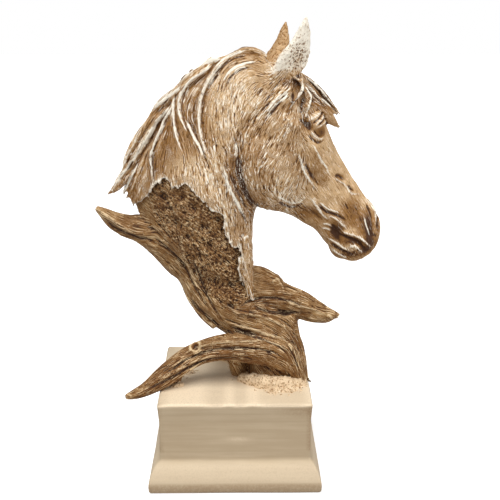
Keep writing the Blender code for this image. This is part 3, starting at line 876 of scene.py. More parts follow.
# Strokes: height, half breadth, then x, z points; a flake falls off steeply on one side
MANE_STROKES = drawn((
    (1.9, 1.5, ((-4, 245), (-9, 240), (-16.4, 231.4), (-20.4, 224.3), (-23.3, 216.3), (-24.6, 205),
        (-23.7, 193.7), (-21, 184), (-17.4, 174.7))),
    (2.1, 1.7, ((-15.4, 243), (-20.3, 236.2), (-30, 229.9), (-35.7, 223.5), (-39, 217.1), (-39.6, 210),
        (-38.8, 205), (-35.8, 198.6), (-33, 194.5))),
    (1.2, 1.1, ((-34, 201), (-31.3, 196.9), (-28.2, 190.5), (-24.2, 183.8), (-21.9, 175.6))),
    (1.4, 1.1, ((-42, 219), (-43.5, 213.2), (-43.7, 205.1), (-42.7, 197), (-40.5, 188.8), (-37.4, 180.6))),
    (1.6, 1.2, ((-44, 213), (-46.4, 207.5), (-51.1, 200.2), (-53.3, 193.7), (-55.9, 188.8),
        (-58.9, 181.4), (-60.8, 174.8), (-60.2, 167.3), (-59.2, 157.3))),
    (1.6, 1.2, ((-46, 211), (-48.9, 207.5), (-54.8, 200.2), (-58.2, 193.7), (-62.5, 187.2), (-66, 178.1))),
    (1.7, 1.7, ((-38.1, 225.1), (-46.2, 218), (-56, 210.7), (-62.7, 203.5))),
    (1.7, 1.7, ((-7.4, 244.4), (-18, 242), (-26.6, 238.6), (-35.5, 232), (-39.6, 225))),
    (1.8, 1.5, ((-50.3, 208), (-59.6, 193.8), (-69, 178.5), (-77.5, 166.7), (-86, 155.7), (-92, 146.5))),
    (1.2, 1.3, ((-72, 166), (-77, 157), (-81, 148), (-82, 142))),
), Shape.FLAKE) + drawn((
    (0.8, 1.0, ((8, 250), (-2, 247), (-11, 241), (-17, 233))),
    (-0.8, 1.0, ((10, 247), (0, 244.4), (-8, 239), (-13, 231))),
    (0.7, 0.9, ((16, 243), (6, 241), (-3, 236), (-9, 227))),
    (-0.7, 1.0, ((12, 239), (4, 237), (-3, 231), (-7, 222))),
))

NECK_STROKES = drawn((
    (-1.6, 3.4, ((4, 180), (5, 164), (8, 148), (15, 138))),
    (-1.3, 2.4, ((-4, 168), (0, 158), (6, 144), (11, 134))),
    (0.9, 2.4, ((-8, 172), (-4, 158), (3, 142), (9, 128))),
    (-1.0, 2.0, ((0, 148), (6, 134), (10, 122))),
    (-1.1, 5.0, ((-20, 176), (-14, 160), (-10, 148))),
    (0.8, 5.0, ((-4, 226), (-9, 208), (-10, 190))),
))

FACE_STROKES = drawn((
    (1.6, 3.2, ((50.5, 209.5), (54, 212), (57, 210.5), (60, 208.5))),
    (1.16, 1.9, ((48.5, 202.6), (52, 204.2), (56, 206), (62, 208.5))),
    (0.61, 0.8, ((52.6, 197.6), (55.6, 200.4), (58.8, 202.6), (63, 206))),
    (0.61, 0.8, ((53.6, 196.4), (57, 198), (60, 199.2), (64, 201))),
    (-1.0, 0.8, ((50, 199.4), (54, 202), (58, 204.4), (62, 206.6))),
    (-1.0, 0.8, ((54, 198.4), (58, 200.4), (63, 203.4))),
    (-2.6, 2.2, ((45.7, 201), (48.1, 197.6), (51.1, 194.9))),
    (0.75, 0.9, ((48.9, 194.8), (52.9, 190.4), (56.5, 188.3), (59.4, 188.4), (62, 190.8))),
    (-0.8, 0.8, ((51.4, 194.4), (54.4, 191.2), (57, 190), (60, 190.6))),
    (-0.8, 1.4, ((47, 192), (51, 188), (56, 185.6), (61, 187))),
    (-2.0, 5.0, ((27, 214), (33, 209), (36, 205))),
    (-1.4, 2.2, ((41, 203), (44.5, 200.5), (46, 196))),
    (1.2, 3.0, ((33, 203), (38, 198.5), (42, 194))),
    (1.0, 3.2, ((42.7, 194.2), (48, 185), (55.4, 176), (62.4, 167), (67.9, 159))),
    (0.54, 1.0, ((50, 186), (55.4, 177.5), (59, 171.9), (64.3, 166.1), (67.9, 159.8), (71.6, 154.1))),
    (-1.2, 4.0, ((60, 181), (67, 169), (72, 161), (79, 154))),
    (0.82, 1.0, ((71.5, 157.4), (77.5, 153.7), (82.3, 150.6), (85.3, 147.6), (87.2, 144.6), (90.3, 142.2),
        (95.6, 141.8), (98.7, 139.9))),
    (-1.2, 2.0, ((74, 158), (79.1, 156.6), (84, 152.6))),
    (-1.0, 1.4, ((86, 149), (88.9, 146.2), (92, 144))),
    (-1.5, 3.6, ((50, 166), (56, 158), (63, 151), (72, 146))),
    (0.95, 1.7, ((40, 178), (42.5, 172.8), (44.9, 165.6), (49.5, 159.3), (54.2, 153.6), (58.9, 149.4))),
    (-1.0, 1.6, ((46, 172), (49, 165.4), (53.4, 159.4), (58, 154.4))),
    (-1.5, 3.4, ((16, 212), (8, 205), (0.5, 196), (-4.5, 184), (-5, 171), (-2, 158), (6, 146), (16, 138))),
    (0.88, 1.6, ((24, 148), (29.7, 145.1), (33.1, 142.6), (38.8, 139.6), (44.5, 139.2), (48.4, 142.4),
        (49.6, 148))),
    (-1.2, 1.6, ((29, 141.4), (33.5, 138.6), (39.2, 135.6), (44.4, 135.4), (50, 139))),
    (-1.2, 3.4, ((47, 138), (54, 132), (62, 127), (68, 121))),
    (0.82, 1.7, ((54, 143), (57, 139), (60.3, 134.6), (64, 129.2), (68.2, 125.5), (72.4, 123.5))),
    (0.75, 0.9, ((60, 140), (62.6, 137.8), (67.4, 133.8), (72.2, 131.6), (77, 129.6), (82, 126.2))),
    (-1.2, 1.3, ((61, 136.4), (66.3, 131.6), (72.2, 129), (78.2, 126.3), (83.6, 123))),
    (0.82, 1.6, ((68, 128.6), (71.1, 127), (75.9, 124.6), (79.6, 121), (83.9, 117), (86.4, 114))),
    (1.02, 1.2, ((80, 115.4), (82.6, 113.6), (85.1, 112.4), (89.9, 111.2), (94.9, 108.6), (98.6, 105.4),
        (103.1, 101.6), (106.8, 100))),
    (-2.6, 1.7, ((80, 111.8), (84.5, 109.6), (91.4, 106.6), (97.4, 101), (102, 94.8))),
    (-2.2, 3.0, ((71, 120), (75, 116), (79, 111), (82, 107))),
    (-1.4, 2.0, ((71.8, 115.8), (76.7, 109.8), (81.1, 104.5))),
    (0.75, 0.9, ((66, 121), (70, 120.4), (74, 117.4))),
    (0.61, 0.8, ((66, 117), (70, 116.6), (73.6, 113.6))),
    (1.4, 2.2, ((86.4, 101.5), (90, 103), (94, 100), (98, 95.6))),
    (0.82, 1.0, ((71, 109), (77.7, 104.8), (83.8, 100.2), (90, 97.5))),
    (-1.6, 1.3, ((74, 104), (81.4, 98.8), (86.9, 96.4), (92.5, 94.4))),
    (0.61, 1.2, ((73.7, 101.6), (78.7, 96.4), (84.9, 92.7), (91.1, 90.2))),
    (-3.0, 2.0, ((111.6, 128), (112.4, 123), (111.8, 118), (109.8, 114))),
    (1.22, 1.5, ((101.7, 137.7), (106.8, 132.7), (109.4, 126.1), (108.6, 119.8), (107, 115.2))),
    (-1.6, 1.3, ((102.4, 133), (105, 126.6), (105.4, 121))),
    (-1.0, 2.2, ((100, 122), (103, 112), (105.6, 104))),
    (0.48, 0.8, ((98.4, 124), (100.6, 116), (104, 108.4))),
    (-1.0, 3.0, ((93, 133), (94, 126), (96, 118))),
    (-0.8, 2.4, ((101, 113), (106, 110), (111, 108))),
    (-1.0, 3.4, ((72, 139), (80, 134), (87, 131))),
))

TEMPLE_STROKES = drawn((
    (1.02, 1.4, ((36, 224), (34, 223.4), (24.3, 216.9), (18.4, 210.6), (11.7, 205.5))),
    (0.95, 1.3, ((35, 221), (32.9, 219.5), (24, 213.5), (19.3, 209), (17.6, 202.3))),
    (-1.2, 1.2, ((34, 222), (27, 215), (20, 207), (14, 202))),
    (0.82, 0.9, ((43.9, 229.7), (43, 224.1), (40.6, 221.1), (37.5, 217.1), (34, 213), (32.3, 210.4))),
    (0.82, 0.9, ((45.5, 227), (48, 221.9), (49.7, 218.5), (47.7, 213.3), (46.2, 208.1), (45.1, 204.4))),
    (-1.4, 1.8, ((38, 222), (37, 216), (33, 213))),
    (-1.3, 1.6, ((46, 219), (44, 213), (42, 206))),
    (0.54, 0.8, ((51, 231), (57, 227), (62.5, 221.5), (67.5, 215.5), (76, 207.5), (80.5, 202.8))),
    (0.48, 0.8, ((60, 217), (66, 212.5), (70, 209.4), (75, 206.2), (78, 204))),
    (0.41, 0.7, ((50, 226), (55, 221.5), (60, 215.5), (64, 210))),
    (-1.0, 0.9, ((48, 225), (52, 220.5), (56.5, 216.5), (61.8, 210.5), (65, 206.5))),
    (-1.0, 0.9, ((54, 226.5), (62, 218.8), (67, 213.4), (72.5, 209))),
    (-0.9, 0.8, ((56, 229.4), (61, 225), (66.4, 219), (72.5, 211.4), (77, 206.6))),
))

# Lines that the coat follows, on the neck and then on the head: x, z points
BODY_COMB = (
    ((-8.2, 233.5), (-12.5, 209.8), (-11.1, 189.4), (-5.6, 168.3)),
    ((1, 236.9), (-2.5, 216.9), (-1.9, 196.4), (3, 182.3)),
    ((-13.2, 196.2), (-8.4, 172), (-5.8, 146.3), (-1.7, 118.7), (4.1, 90.1), (12, 68)),
    ((-45.9, 173.9), (-47.4, 159.9)),
    ((-31.2, 181.8), (-29.9, 161.2)),
    ((-20, 172), (-16, 152), (-10, 136)),
    ((11.5, 208.7), (3, 192.9), (-1.3, 171.7), (2.9, 152.3), (13.2, 135.6)),
    ((20.1, 243.7), (8.2, 248.9), (-3.9, 244.7), (-13.9, 235.1)),
    ((20.1, 235.7), (8.1, 239.8), (-1.1, 232.9)),
    ((10, 128), (11, 108), (13, 88), (14, 70)),
)

# Soft patches of paint, in the drawing of the head and then of the neck. On the head, the dark patches on
# the muzzle, by the nostril and in the ear's hollow are painted shade, and the paler patches on the face's
# side and bridge are
# partly painted light:
# x, z, how wide, how tall, how much paler and how much more of the dark wash, which is painted shade in
# those dark patches
HEAD_PAINT_AND_SHADING_PATCHES = (
    (66, 182, 7, 12, 0.45, -0.2), (74, 164, 9, 12, 0.5, -0.2), (88, 148, 8, 9, 0.4, -0.1),
    (80, 155.5, 4, 2.6, -0.35, 0.35), (89, 145.6, 2.2, 1.8, -0.3, 0.3), (72, 137, 6, 5, 0.35, -0.2),
    (89, 130, 10, 9, -0.4, 0.5), (97, 118, 7, 8, -0.3, 0.4), (99, 131, 5, 6, 0.4, -0.1),
    (102, 116, 4, 12, -0.4, 0.95), (105, 104, 5, 5, -0.4, 0.7), (111, 119, 2.4, 8, -0.4, 0.9),
    (107, 133, 4, 4, 0.5, -0.3), (88, 120, 9, 4, 0.2, 0.1), (86, 114.5, 6, 2.4, 0.5, -0.3),
    (77, 114, 5.5, 8, -0.4, 1.0), (90, 106, 8, 2.6, -0.4, 0.9), (99, 98.5, 5, 3, -0.4, 0.9),
    (88, 101, 5, 3.4, 0.3, -0.3), (88, 95, 8, 2.6, -0.3, 0.7), (74, 100, 3, 5, 0.1, 0.1),
    (47, 142, 12, 9, 0.7, -0.2), (30, 146, 12, 8, 0.4, -0.1), (55, 131, 12, 6, -0.2, 0.5),
    (40, 158, 9, 10, 0.1, 0.0), (36, 250, 12, 18, 0.6, -0.3), (27, 236, 9, 5, 0.5, -0.3),
    (20, 190, 9, 12, 0.15, -0.1), (28, 160, 14, 10, 0.3, -0.1), (43, 246, 3, 7, -0.5, 0.25),
    (62, 216, 13, 14, -0.35, 0.4), (27, 237, 5, 5, 0.4, -0.3), (46, 186, 5, 9, 0.3, -0.1),
    (63, 160, 7, 9, -0.2, 0.25), (55, 168, 5, 10, -0.1, 0.2), (8, 178, 12, 26, -0.1, 0.12),
    (34, 228, 4, 2.4, -0.4, 0.8), (40, 227, 2.4, 4, -0.3, 0.6), (48, 198.5, 2.2, 3.6, -0.4, 0.9),
    (55, 206, 6, 5, 0.35, -0.2),
)
BODY_TOUCHES = (
    (-34, 170, 14, 9, 0.5, -0.1), (-57, 168, 6, 12, -0.1, 0.25), (-4, 208, 11, 22, 0.6, -0.2),
    (6, 226, 10, 12, 0.5, -0.2), (-16, 160, 12, 16, 0.4, -0.1), (-4, 136, 9, 14, 0.4, -0.05),
    (6, 96, 8, 26, 0.35, -0.1), (0, 168, 6, 24, -0.25, 0.4), (13, 132, 5, 8, -0.1, 0.4),
    (-30, 205, 5, 14, -0.1, 0.25), (-48, 190, 5, 14, -0.1, 0.25), (-20, 244, 14, 8, 0.7, -0.2),
    (-70, 186, 12, 16, 0.4, -0.1),
)

HEAD_COMB = (
    ((30.1, 202.8), (22.7, 190.4), (13.2, 175)),
    ((40.6, 174.2), (35.7, 160.8), (29.4, 147.9)),
    ((16.6, 206.3), (9, 195.8), (4, 181.6), (4, 167.1), (9.4, 152)),
    ((22.8, 181.8), (13, 166.5), (14.4, 152.4), (27.1, 140)),
    ((47.3, 190.4), (58.4, 176.4), (76.7, 157.2), (88.6, 141)),
    ((46.3, 141.2), (56.3, 134.1), (67.1, 124), (76.1, 115)),
    ((42.8, 231.3), (55.6, 218.5), (74.2, 204.4)),
    ((60, 194.9), (80.1, 171.9), (92, 155.1), (99.2, 139.9)),
    ((90, 140), (98, 128), (104, 112)),
    ((34, 226), (24, 218), (14, 208)),
)


# The horse


@dataclass
class Horse:
    """The horse's head, neck and mane: one casting with the driftwood, here as its own skin."""

    grid: Grid
    voxel: float = 0.62
    block_voxel: float = 0.85
    budget: int = 196000
    seed: int = 11
    jaw_centre: Point = (24, 9.5, 171)
    jaw_radii: Point = (34, 17, 33)
    socket_centre: Point = (52, 17, 199)
    socket_radii: Point = (11, 9, 9)
    eye_centre: Point = (57.6, 18.6, 193.2)
    eye_radii: Point = (5.0, 4.8, 4.6)
    chin_centre: Point = (86.5, 0, 97.5)
    chin_radii: Point = (11, 9.5, 8.5)
    ear_base: Point = (26, 14, 226)
    ear_tip: Point = (46.6, 20, 274)
    ear_bow: float = 6.2
    ear_wall: float = 6.4
    ear_twist: float = math.radians(14)
    far_ear_narrowing: float = 0.76
    far_ear_bow: float = 4.4
    far_ear_twist: float = math.radians(45)
    far_ear_drop: float = 5.0
    far_ear_set_back: float = 1.5
    lock_tip: float = 0.85

    def make(self) -> bpy.types.Object:
        """Models the horse.

        Returns:
            The finished object, in metres, with its paint marks.
        """
        obj = self.block_out().fuse("horse_cast", self.block_voxel, 1)
        cut_with(obj, prism("below_the_edge", self.torn_outline(), 90.0))
        refuse(obj, self.voxel, 2)
        skin = Skin(obj, self.grid)
        LOG.info("horse skin: %d points", len(skin.points))
        self.model_forms(skin)
        comb = self.comb(skin)
        self.comb_coat(skin, comb)
        self.paint_marks(skin)
        thinned = thin_skin(skin, self.budget)
        where = self.regions(thinned)
        stretch = 1 + 1.6 * where["mane"] + 1.2 * where["forelock"]
        thinned.lay_patches(comb, np.random.default_rng(self.seed + 2), 1300, stretch)
        return set_in_place(thinned)

    def block_out(self) -> Clay:
        """The masses of the head, neck, mane, ears and forelock."""
        grid = self.grid
        clay = Clay(grid)
        clay.loft(HEAD_SECTIONS, grid.turned)
        clay.loft(NECK_SECTIONS, grid.straight)
        for side in (-1, 1):
            clay.ball(mirrored(self.jaw_centre, side), self.jaw_radii, grid.turned)
            clay.ball(mirrored(self.socket_centre, side), self.socket_radii, grid.turned)
        clay.ball(self.chin_centre, self.chin_radii, grid.turned, tilt=math.radians(24))
        tree = clay.tree()
        for side in (-1, 1):
            for width, points in MANE_LOCKS:
                self.add_lock(clay, rested_on(tree, points, side, -0.6), width)
            for width, points in FORELOCK:
                route = smooth_route([mirrored(p, side) for p in points], 3)
                self.add_lock(clay, route, width, grid.turned)
            self.add_ear(clay, side)
            clay.ball(mirrored(self.eye_centre, side), self.eye_radii, grid.turned)
        for width, points in FAR_LOCKS:
            self.add_lock(clay, smooth_route(points, 3), width)
        for side in (-1, 1):
            clay.limb([(x, side * y, z, width) for x, y, z, width in STRIP], grid.straight, flat=0.7)
        return clay

    def add_lock(
        self, clay: Clay, points: Sequence[Point], width: float, place: Place | None = None
    ) -> None:
        """A lock of hair that swells and then runs out to a point.

        Args:
            clay: the clay that it is added to.
            points: the lock's middle, from its root to its tip.
            width: its half thickness where it is thickest.
            place: turns a drawn point into a point of the grid.
        """
        count = len(points)
        stations = []
        for i, (x, y, z) in enumerate(points):
            share = i / (count - 1)
            swell = math.sin(math.pi * min(0.06 + 0.94 * share, 1.0)) ** 0.6 if share < 1 else 0.0
            stations.append((x, y, z, max(width * swell, self.lock_tip)))
        clay.limb(stations, place or self.grid.straight, sides=12, steps=2)

    def add_ear(self, clay: Clay, side: int) -> None:
        """A cupped ear whose hollow looks outwards and a little forwards.

        Args:
            clay: the clay that it is added to.
            side: -1 for the near ear, 1 for the far one.
        """
        base, tip = Vector(mirrored(self.ear_base, side)), Vector(mirrored(self.ear_tip, side))
        twist, narrowing, bow = self.ear_twist, 1.0, self.ear_bow
        if side > 0:
            tip -= Vector((self.far_ear_set_back, 0, self.far_ear_drop))
            twist, narrowing, bow = self.far_ear_twist, self.far_ear_narrowing, self.far_ear_bow
        up = (tip - base).normalized()
        across = Vector((math.cos(twist), -side * math.sin(twist), 0))
        across = (across - up * across.dot(up)).normalized()
        out = up.cross(across) * side
        arc = [math.pi * k / 12 for k in range(13)]
        rings = []
        for share, full_width, cup in smooth_route(EAR_SECTIONS, 5):
            middle = base.lerp(tip, share) + Vector((bow * math.sin(math.pi * share), 0, 0))
            half_width = full_width * narrowing
            wall = min(self.ear_wall, half_width * 0.8)
            ring = [middle + across * (math.cos(a) * half_width) - out * (math.sin(a) * cup) for a in arc]
            inner = max(half_width - wall * 0.6, 0.3)
            depth = max(cup - wall, 0.0)
            for angle in reversed(arc):
                hollow = across * (math.cos(angle) * inner) - out * (math.sin(angle) * depth)
                ring.append(middle + out * 1.2 + hollow)
            rings.append([self.grid.turned(*p) for p in ring])
        clay.bridge(rings)

    def torn_outline(self) -> list[Point]:
        """The torn edge with small teeth, closed below."""
        chance = np.random.default_rng(self.seed)
        route = evenly_spaced(np.array(TORN_EDGE, float), 1.7)
        along = unit_rows(np.gradient(route, axis=0))
        across = np.column_stack([-along[:, 1], along[:, 0]])
        count = len(route)
        teeth = chance.normal(0, 0.65, count)
        teeth += (chance.random(count) < 0.12) * chance.uniform(-2.2, 2.2, count)
        teeth[:2] = teeth[-3:] = 0
        ragged = route + across * teeth[:, None]
        return [tuple(p) for p in ragged] + list(BELOW_THE_EDGE)

    def model_forms(self, skin: Skin) -> None:
        """Works the mane, the neck's folds and the face into the skin.

        Args:
            skin: the horse's skin.
        """
        grid = self.grid
        surface = skin.surface()
        heights = skin.work(MANE_STROKES, grid.straight, surface)
        heights += skin.work(NECK_STROKES, grid.straight, surface)
        heights += skin.work(FACE_STROKES, grid.turned, surface)
        heights += skin.work(TEMPLE_STROKES, grid.turned, surface)
        skin.push(np.clip(heights, -4.5, 4.5))

    def comb(self, skin: Skin) -> Comb:
        """The way that the coat and mane lie on both sides.

        Args:
            skin: the horse's skin.

        Returns:
            Their comb.
        """
        surface = skin.surface()
        routes = []
        for side in (-1, 1):
            for line in BODY_COMB:
                routes.append(skin.lay(line, side, self.grid.straight, surface))
            for stroke in MANE_STROKES:
                routes.append(skin.lay(stroke.points, side, self.grid.straight, surface))
            for line in HEAD_COMB:
                routes.append(skin.lay(line, side, self.grid.turned, surface))
        return Comb(route for route in routes if len(route) > 3)

    def regions(self, skin: Skin) -> dict[str, np.ndarray]:
        """How far each point belongs to each part of the horse, from 0 to 1.

        Args:
            skin: the horse's skin.

        Returns:
            The shares of the mane, face, ears, forelock and coat.
        """
        points = skin.points
        head = self.grid.in_head(points)
        x, z = points[:, 0], points[:, 2]
        mane = ramp(-14 - x, -4, 6) * ramp(z - (180 + 0.5 * (x + 20)), -6, 6)
        mane = np.maximum(mane, ramp(-x - 56, -4, 6))
        mane = np.maximum(mane, ramp(z - 232, -4, 6) * ramp(24 - x, -4, 6))
        hx, hz = head[:, 0], head[:, 2]
        face = ramp(hx - 44, -4, 12) * ramp(214 - hz, -4, 6)
        base, tip = self.ear_base, self.ear_tip
        up = (hz - base[2]) / (tip[2] - base[2])
        middle = base[0] + (tip[0] - base[0]) * up + self.ear_bow * np.sin(np.pi * np.clip(up, 0, 1))
        wide = np.interp(up, [row[0] for row in EAR_SECTIONS], [row[1] for row in EAR_SECTIONS])
        ears = ramp(up, 0.12, 0.3) * ramp(wide + 3 - np.abs(hx - middle), -1, 2)
        ears *= np.maximum(ramp(np.abs(head[:, 1]), 7, 10), ramp(up, 0.5, 0.55))
        forelock = ramp(hx - 40, -3, 3) * ramp(hz - 205 - np.abs(head[:, 1]) * 0.25, -3, 3) * (1 - ears)
        mane *= 1 - ears
        coat = np.clip(1 - mane - face - ears - forelock, 0, 1)
        return {"mane": mane, "face": face, "ears": ears, "forelock": forelock, "coat": coat}

    def comb_coat(self, skin: Skin, comb: Comb) -> None:
        """Scratches hair into the mane, coat, face and forelock.

        Args:
            skin: the horse's skin.
            comb: the way that the hair lies.
        """
        chance = np.random.default_rng(self.seed + 1)
        where = self.regions(skin)
        hair = where["mane"] + 0.8 * where["forelock"]
        coat = where["coat"] + 0.1 * where["face"]
        ears = where["ears"]
        layers = (
            (1, hair, 120, (14, 34), (0.12, 0.32), (0.5, 0.7), 0.05),
            (-1, hair, 220, (12, 30), (0.15, 0.4), (0.45, 0.65), 0.05),
            (1, coat, 1500, (5, 12), (0.12, 0.36), (0.45, 0.62), 0.14),
            (-1, coat, 1700, (5, 12), (0.15, 0.4), (0.45, 0.62), 0.14),
            (1, ears, 500, (2, 5), (0.12, 0.4), (0.45, 0.7), 0.5),
            (-1, ears, 500, (2, 5), (0.12, 0.4), (0.45, 0.7), 0.5),
        )
        skin.push(np.clip(skin.comb_layers(chance, comb, layers), -1.3, 1.2))

    def paint_marks(self, skin: Skin) -> None:
        """Marks where the paint is pale, where the wash settles and where the brush catches, with painted
        shade behind the far locks, in the ear's hollow and on the muzzle, and painted light on the face.

        Args:
            skin: the worked skin, which is given the marks.
        """
        where = self.regions(skin)
        head = self.grid.in_head(skin.points)
        hx, hy, hz = head[:, 0], np.abs(head[:, 1]), head[:, 2]
        x, z = skin.points[:, 0], skin.points[:, 2]
        fine, middle, wide = skin.bulge(2), skin.bulge(10), skin.bulge(60)
        crest = 0.75 * ramp(fine * 2.0 + middle * 1.1 + wide * 0.1, 0.2, 1.0) * (1 - 0.2 * where["mane"])
        hollow = ramp(-(fine * 1.6 + middle * 1.1 + wide * 0.5), 0.02, 1.0)
        crest *= 1 - 0.4 * where["forelock"] - 0.5 * where["ears"] - 0.35 * where["face"]
        strokes = (
            (MANE_STROKES + NECK_STROKES, self.grid.straight),
            (FACE_STROKES + TEMPLE_STROKES, self.grid.turned),
        )
        light, dark = followed_lines(skin, strokes, (0.45, 0.6), 3.0)
        pale = 0.5 + 0.22 * ramp(z, 195, 250) - 0.14 * ramp(175 - z, 0, 40) * (1 - where["face"])
        pale += 0.3 * where["ears"] - 0.2 * where["forelock"] + 0.12 * where["mane"] + 0.15 * where["face"]
        hollow = np.minimum(hollow, 1 - 0.6 * where["mane"]) + 0.2 * where["mane"] + 0.1 * where["forelock"]
        for along, up, touches in ((hx, hz, HEAD_PAINT_AND_SHADING_PATCHES), (x, z, BODY_TOUCHES)):
            pale, crest, hollow = touched_up((pale, crest, hollow), along, up, touches, 1.3, 0.35)
        eye = spot(hx, hz, (58.2, 193), (4.6, 4.0)) * (hy > 12)
        hollow = np.maximum(hollow, 0.78 * eye)
        crest *= 1 - 0.8 * eye * (1 - light)
        near = head[:, 1] < 0
        near_ear, far_ear = where["ears"] * near, where["ears"] * (1 - near)
        # Brown speckles on the near ear's middle, which also stand as painted shade for the ear's hollow:
        # less brush and more speckle there.
        ear_speckle_and_shade = spot(hx, hz, (41.5, 244), (6, 9))
        crest = np.maximum(crest * (1 - 0.7 * far_ear), near_ear * (0.86 - 0.4 * ear_speckle_and_shade))
        pale += 0.15 * far_ear
        hollow = hollow * (1 - 0.7 * where["ears"]) + 0.14 * far_ear
        brow = spot(hx, hz, (57, 198), (9, 11))
        crest *= 1 - 0.5 * brow
        light = np.clip(light * (1 + 0.6 * where["mane"] - 0.25 * where["face"] - 0.2 * brow), 0, 1)
        crest = np.maximum(crest, light)
        hollow = np.maximum(hollow * (1 - 0.8 * light), 0.9 * dark)
        # Painted shade: the skin just behind the far-side locks gets the dark wash and loses its brush, for
        # the shade that the locks cast on it.
        far = point_tree(point for _, points in FAR_LOCKS for point in points)
        behind = np.array([far.find(point)[2] for point in skin.points])
        painted_lock_shade = np.exp(-((behind / 5.5) ** 2)) * ramp(skin.points[:, 1], 1, 5)
        hollow = np.maximum(hollow, 0.7 * painted_lock_shade)
        crest *= 1 - 0.8 * painted_lock_shade
        edge = np.abs(outline_distance(x, z, list(TORN_EDGE) + list(BELOW_THE_EDGE)))
        rim = np.exp(-((edge / 1.3) ** 2)) * (z > 70)
        crest = np.maximum(crest, rim * 0.7)
        fur = 1.0 - 0.5 * where["face"] - 0.6 * where["ears"] - 0.15 * where["mane"] - 0.8 * eye
        chin = spot(hx, hz, (90, 98), (10, 8))
        skin.marks = {
            "pale": np.clip(pale, 0, 1),
            "crest": np.clip(crest, 0, 1),
            "hollow": np.clip(hollow, 0, 1),
            "fur": np.clip(fur, 0, 1),
            "speckle": np.clip(0.2 + where["ears"] * (0.25 + 0.75 * ear_speckle_and_shade * near) + 0.6 * chin, 0, 1),
        }


def mirrored(point: Point, side: int) -> Point:
    """A point drawn for the far side, moved to the near one when side is -1."""
    return (point[0], point[1] * side, point[2])


def rested_on(tree: BVHTree, points: Sequence[Point], side: int, lift: float) -> list[Point]:
    """A side-view line laid on the skin, easing in towards the middle plane past its outline.

    Args:
        tree: the faces that it is laid on.
        points: x and z points.
        side: -1 for the near side, 1 for the far one.
        lift: how far it stands off the skin, negative when it is sunk in.

    Returns:
        The line's points.
    """
    line = smooth_route(points, 3)
    depths = []
    depth = side * 8.0
    for x, z in line:
        hit, _, _, _ = tree.ray_cast(Vector((x, side * OUTSIDE, z)), Vector((0, -side, 0)))
        depth = depth * 0.8 if hit is None else hit.y + side * lift
        depths.append(depth)
    padded = np.array([depths[0], *depths, depths[-1]])
    eased = (padded[:-2] + padded[1:-1] + padded[2:]) / 3
    return [(x, y, z) for (x, z), y in zip(line, eased)]


def followed_lines(
    skin: Skin, drawings: Sequence[tuple[Sequence[Stroke], Place]], widths: Point, widest: float = math.inf
) -> list[np.ndarray]:
    """Where the brush follows the modelled ridges, and where the wash follows the grooves.

    Args:
        skin: the worked skin.
        drawings: strokes, each set with the drawing that it belongs to.
        widths: how broad the brush and the wash are, in shares of a stroke's breadth.
        widest: broader strokes are not followed.

    Returns:
        The brushed and the washed share of each point.
    """
    surface = skin.surface()
    shares = []
    for rises, width in zip((True, False), widths):
        total = np.zeros(len(skin.points))
        for strokes, place in drawings:
            fitting = [s for s in strokes if (s.height > 0) == rises and s.breadth < widest]
            lines = [Stroke(1.2, max(s.breadth * width, 0.7), s.points) for s in fitting]
            total = np.maximum(total, skin.work(lines, place, surface))
        shares.append(np.clip(total, 0, 1))
    return shares


def touched_up(
    marks: Sequence[np.ndarray],
    x: np.ndarray,
    z: np.ndarray,
    touches: Sequence[Point],
    smothers: float,
    catches: float,
) -> tuple[np.ndarray, np.ndarray, np.ndarray]:
    """Paint marks with soft patches added; on the head some patches are painted shade and some are painted
    light.

    Args:
        marks: how pale, how brushed and how washed each point is.
        x: each point's x in the drawing of the patches.
        z: each point's z there.
        touches: the patches, as in the tables.
        smothers: how much a patch's wash, which is painted shade in the head's dark patches, takes from the
            brush.
        catches: how much a patch's paleness adds to it.

    Returns:
        The three marks with the patches.
    """
    pale, crest, hollow = marks
    for at_x, at_z, broad, tall, paler, darker in touches:
        patch = spot(x, z, (at_x, at_z), (broad, tall))
        pale = pale + paler * patch
        kept = 1 - min(max(darker, 0.0) * smothers, 1.0) * patch
        crest = crest * kept + catches * max(paler, 0.0) * patch
        hollow = hollow + darker * patch
    return pale, crest, hollow


def thin_skin(skin: Skin, budget: int) -> Skin:
    """Thins a worked skin and carries its marks over.

    Args:
        skin: the worked skin.
        budget: the most triangles it may keep.

    Returns:
        The thinned skin, with its marks stored on its mesh.
    """
    thin_to(skin.obj, budget)
    thinned = Skin(skin.obj, skin.grid)
    nearest = skin.nearest(thinned.points)
    for name, values in skin.marks.items():
        mark_points(thinned.obj.data, name, values[nearest])
    return thinned


def set_in_place(skin: Skin) -> bpy.types.Object:
    """Brings a skin from drawn units to the frame's metres."""
    mesh = skin.obj.data
    mesh.transform(skin.grid.to_frame())
    mesh.polygons.foreach_set("use_smooth", np.ones(len(mesh.polygons), bool))
    mesh.update()
    return skin.obj


# Tables of the driftwood, as limbs along their middles: x, y, z, radius

TRUNK = (
    (-70, 4, 116, 10), (-57, 5, 110, 13.5), (-42, 5, 97, 16), (-29, 4, 86, 17.5), (-15, 3, 69, 23),
    (-2, 2, 58.5, 23), (15, 1, 45, 22), (25, 0, 33, 22), (30, -1, 14, 20.5), (31, -2, -8, 23),
)
UPPER_BRANCH = (
    (-104, 3, 134, 1.9), (-98, 3, 129.6, 4.4), (-90, 3, 123.6, 7.2), (-80, 4, 119.4, 9),
    (-70, 4, 117, 11), (-56, 4, 108, 12),
)
FRONT_BRANCH = (
    (82, 2, 46.2, 1.9), (78, 2, 47.2, 3.6), (70, 2, 48.2, 7), (60, 1, 52, 9.6), (50, 0, 57.5, 11.3),
    (41, 0, 61, 11.8), (28, 0, 66, 13), (12, 0, 70, 16),
)
BRANCH_HUMP = ((8, 0, 80, 9), (18, 0, 79, 9.4), (26, 0, 75.5, 8.6), (32, 0, 70, 8), (37, 0, 64, 7))
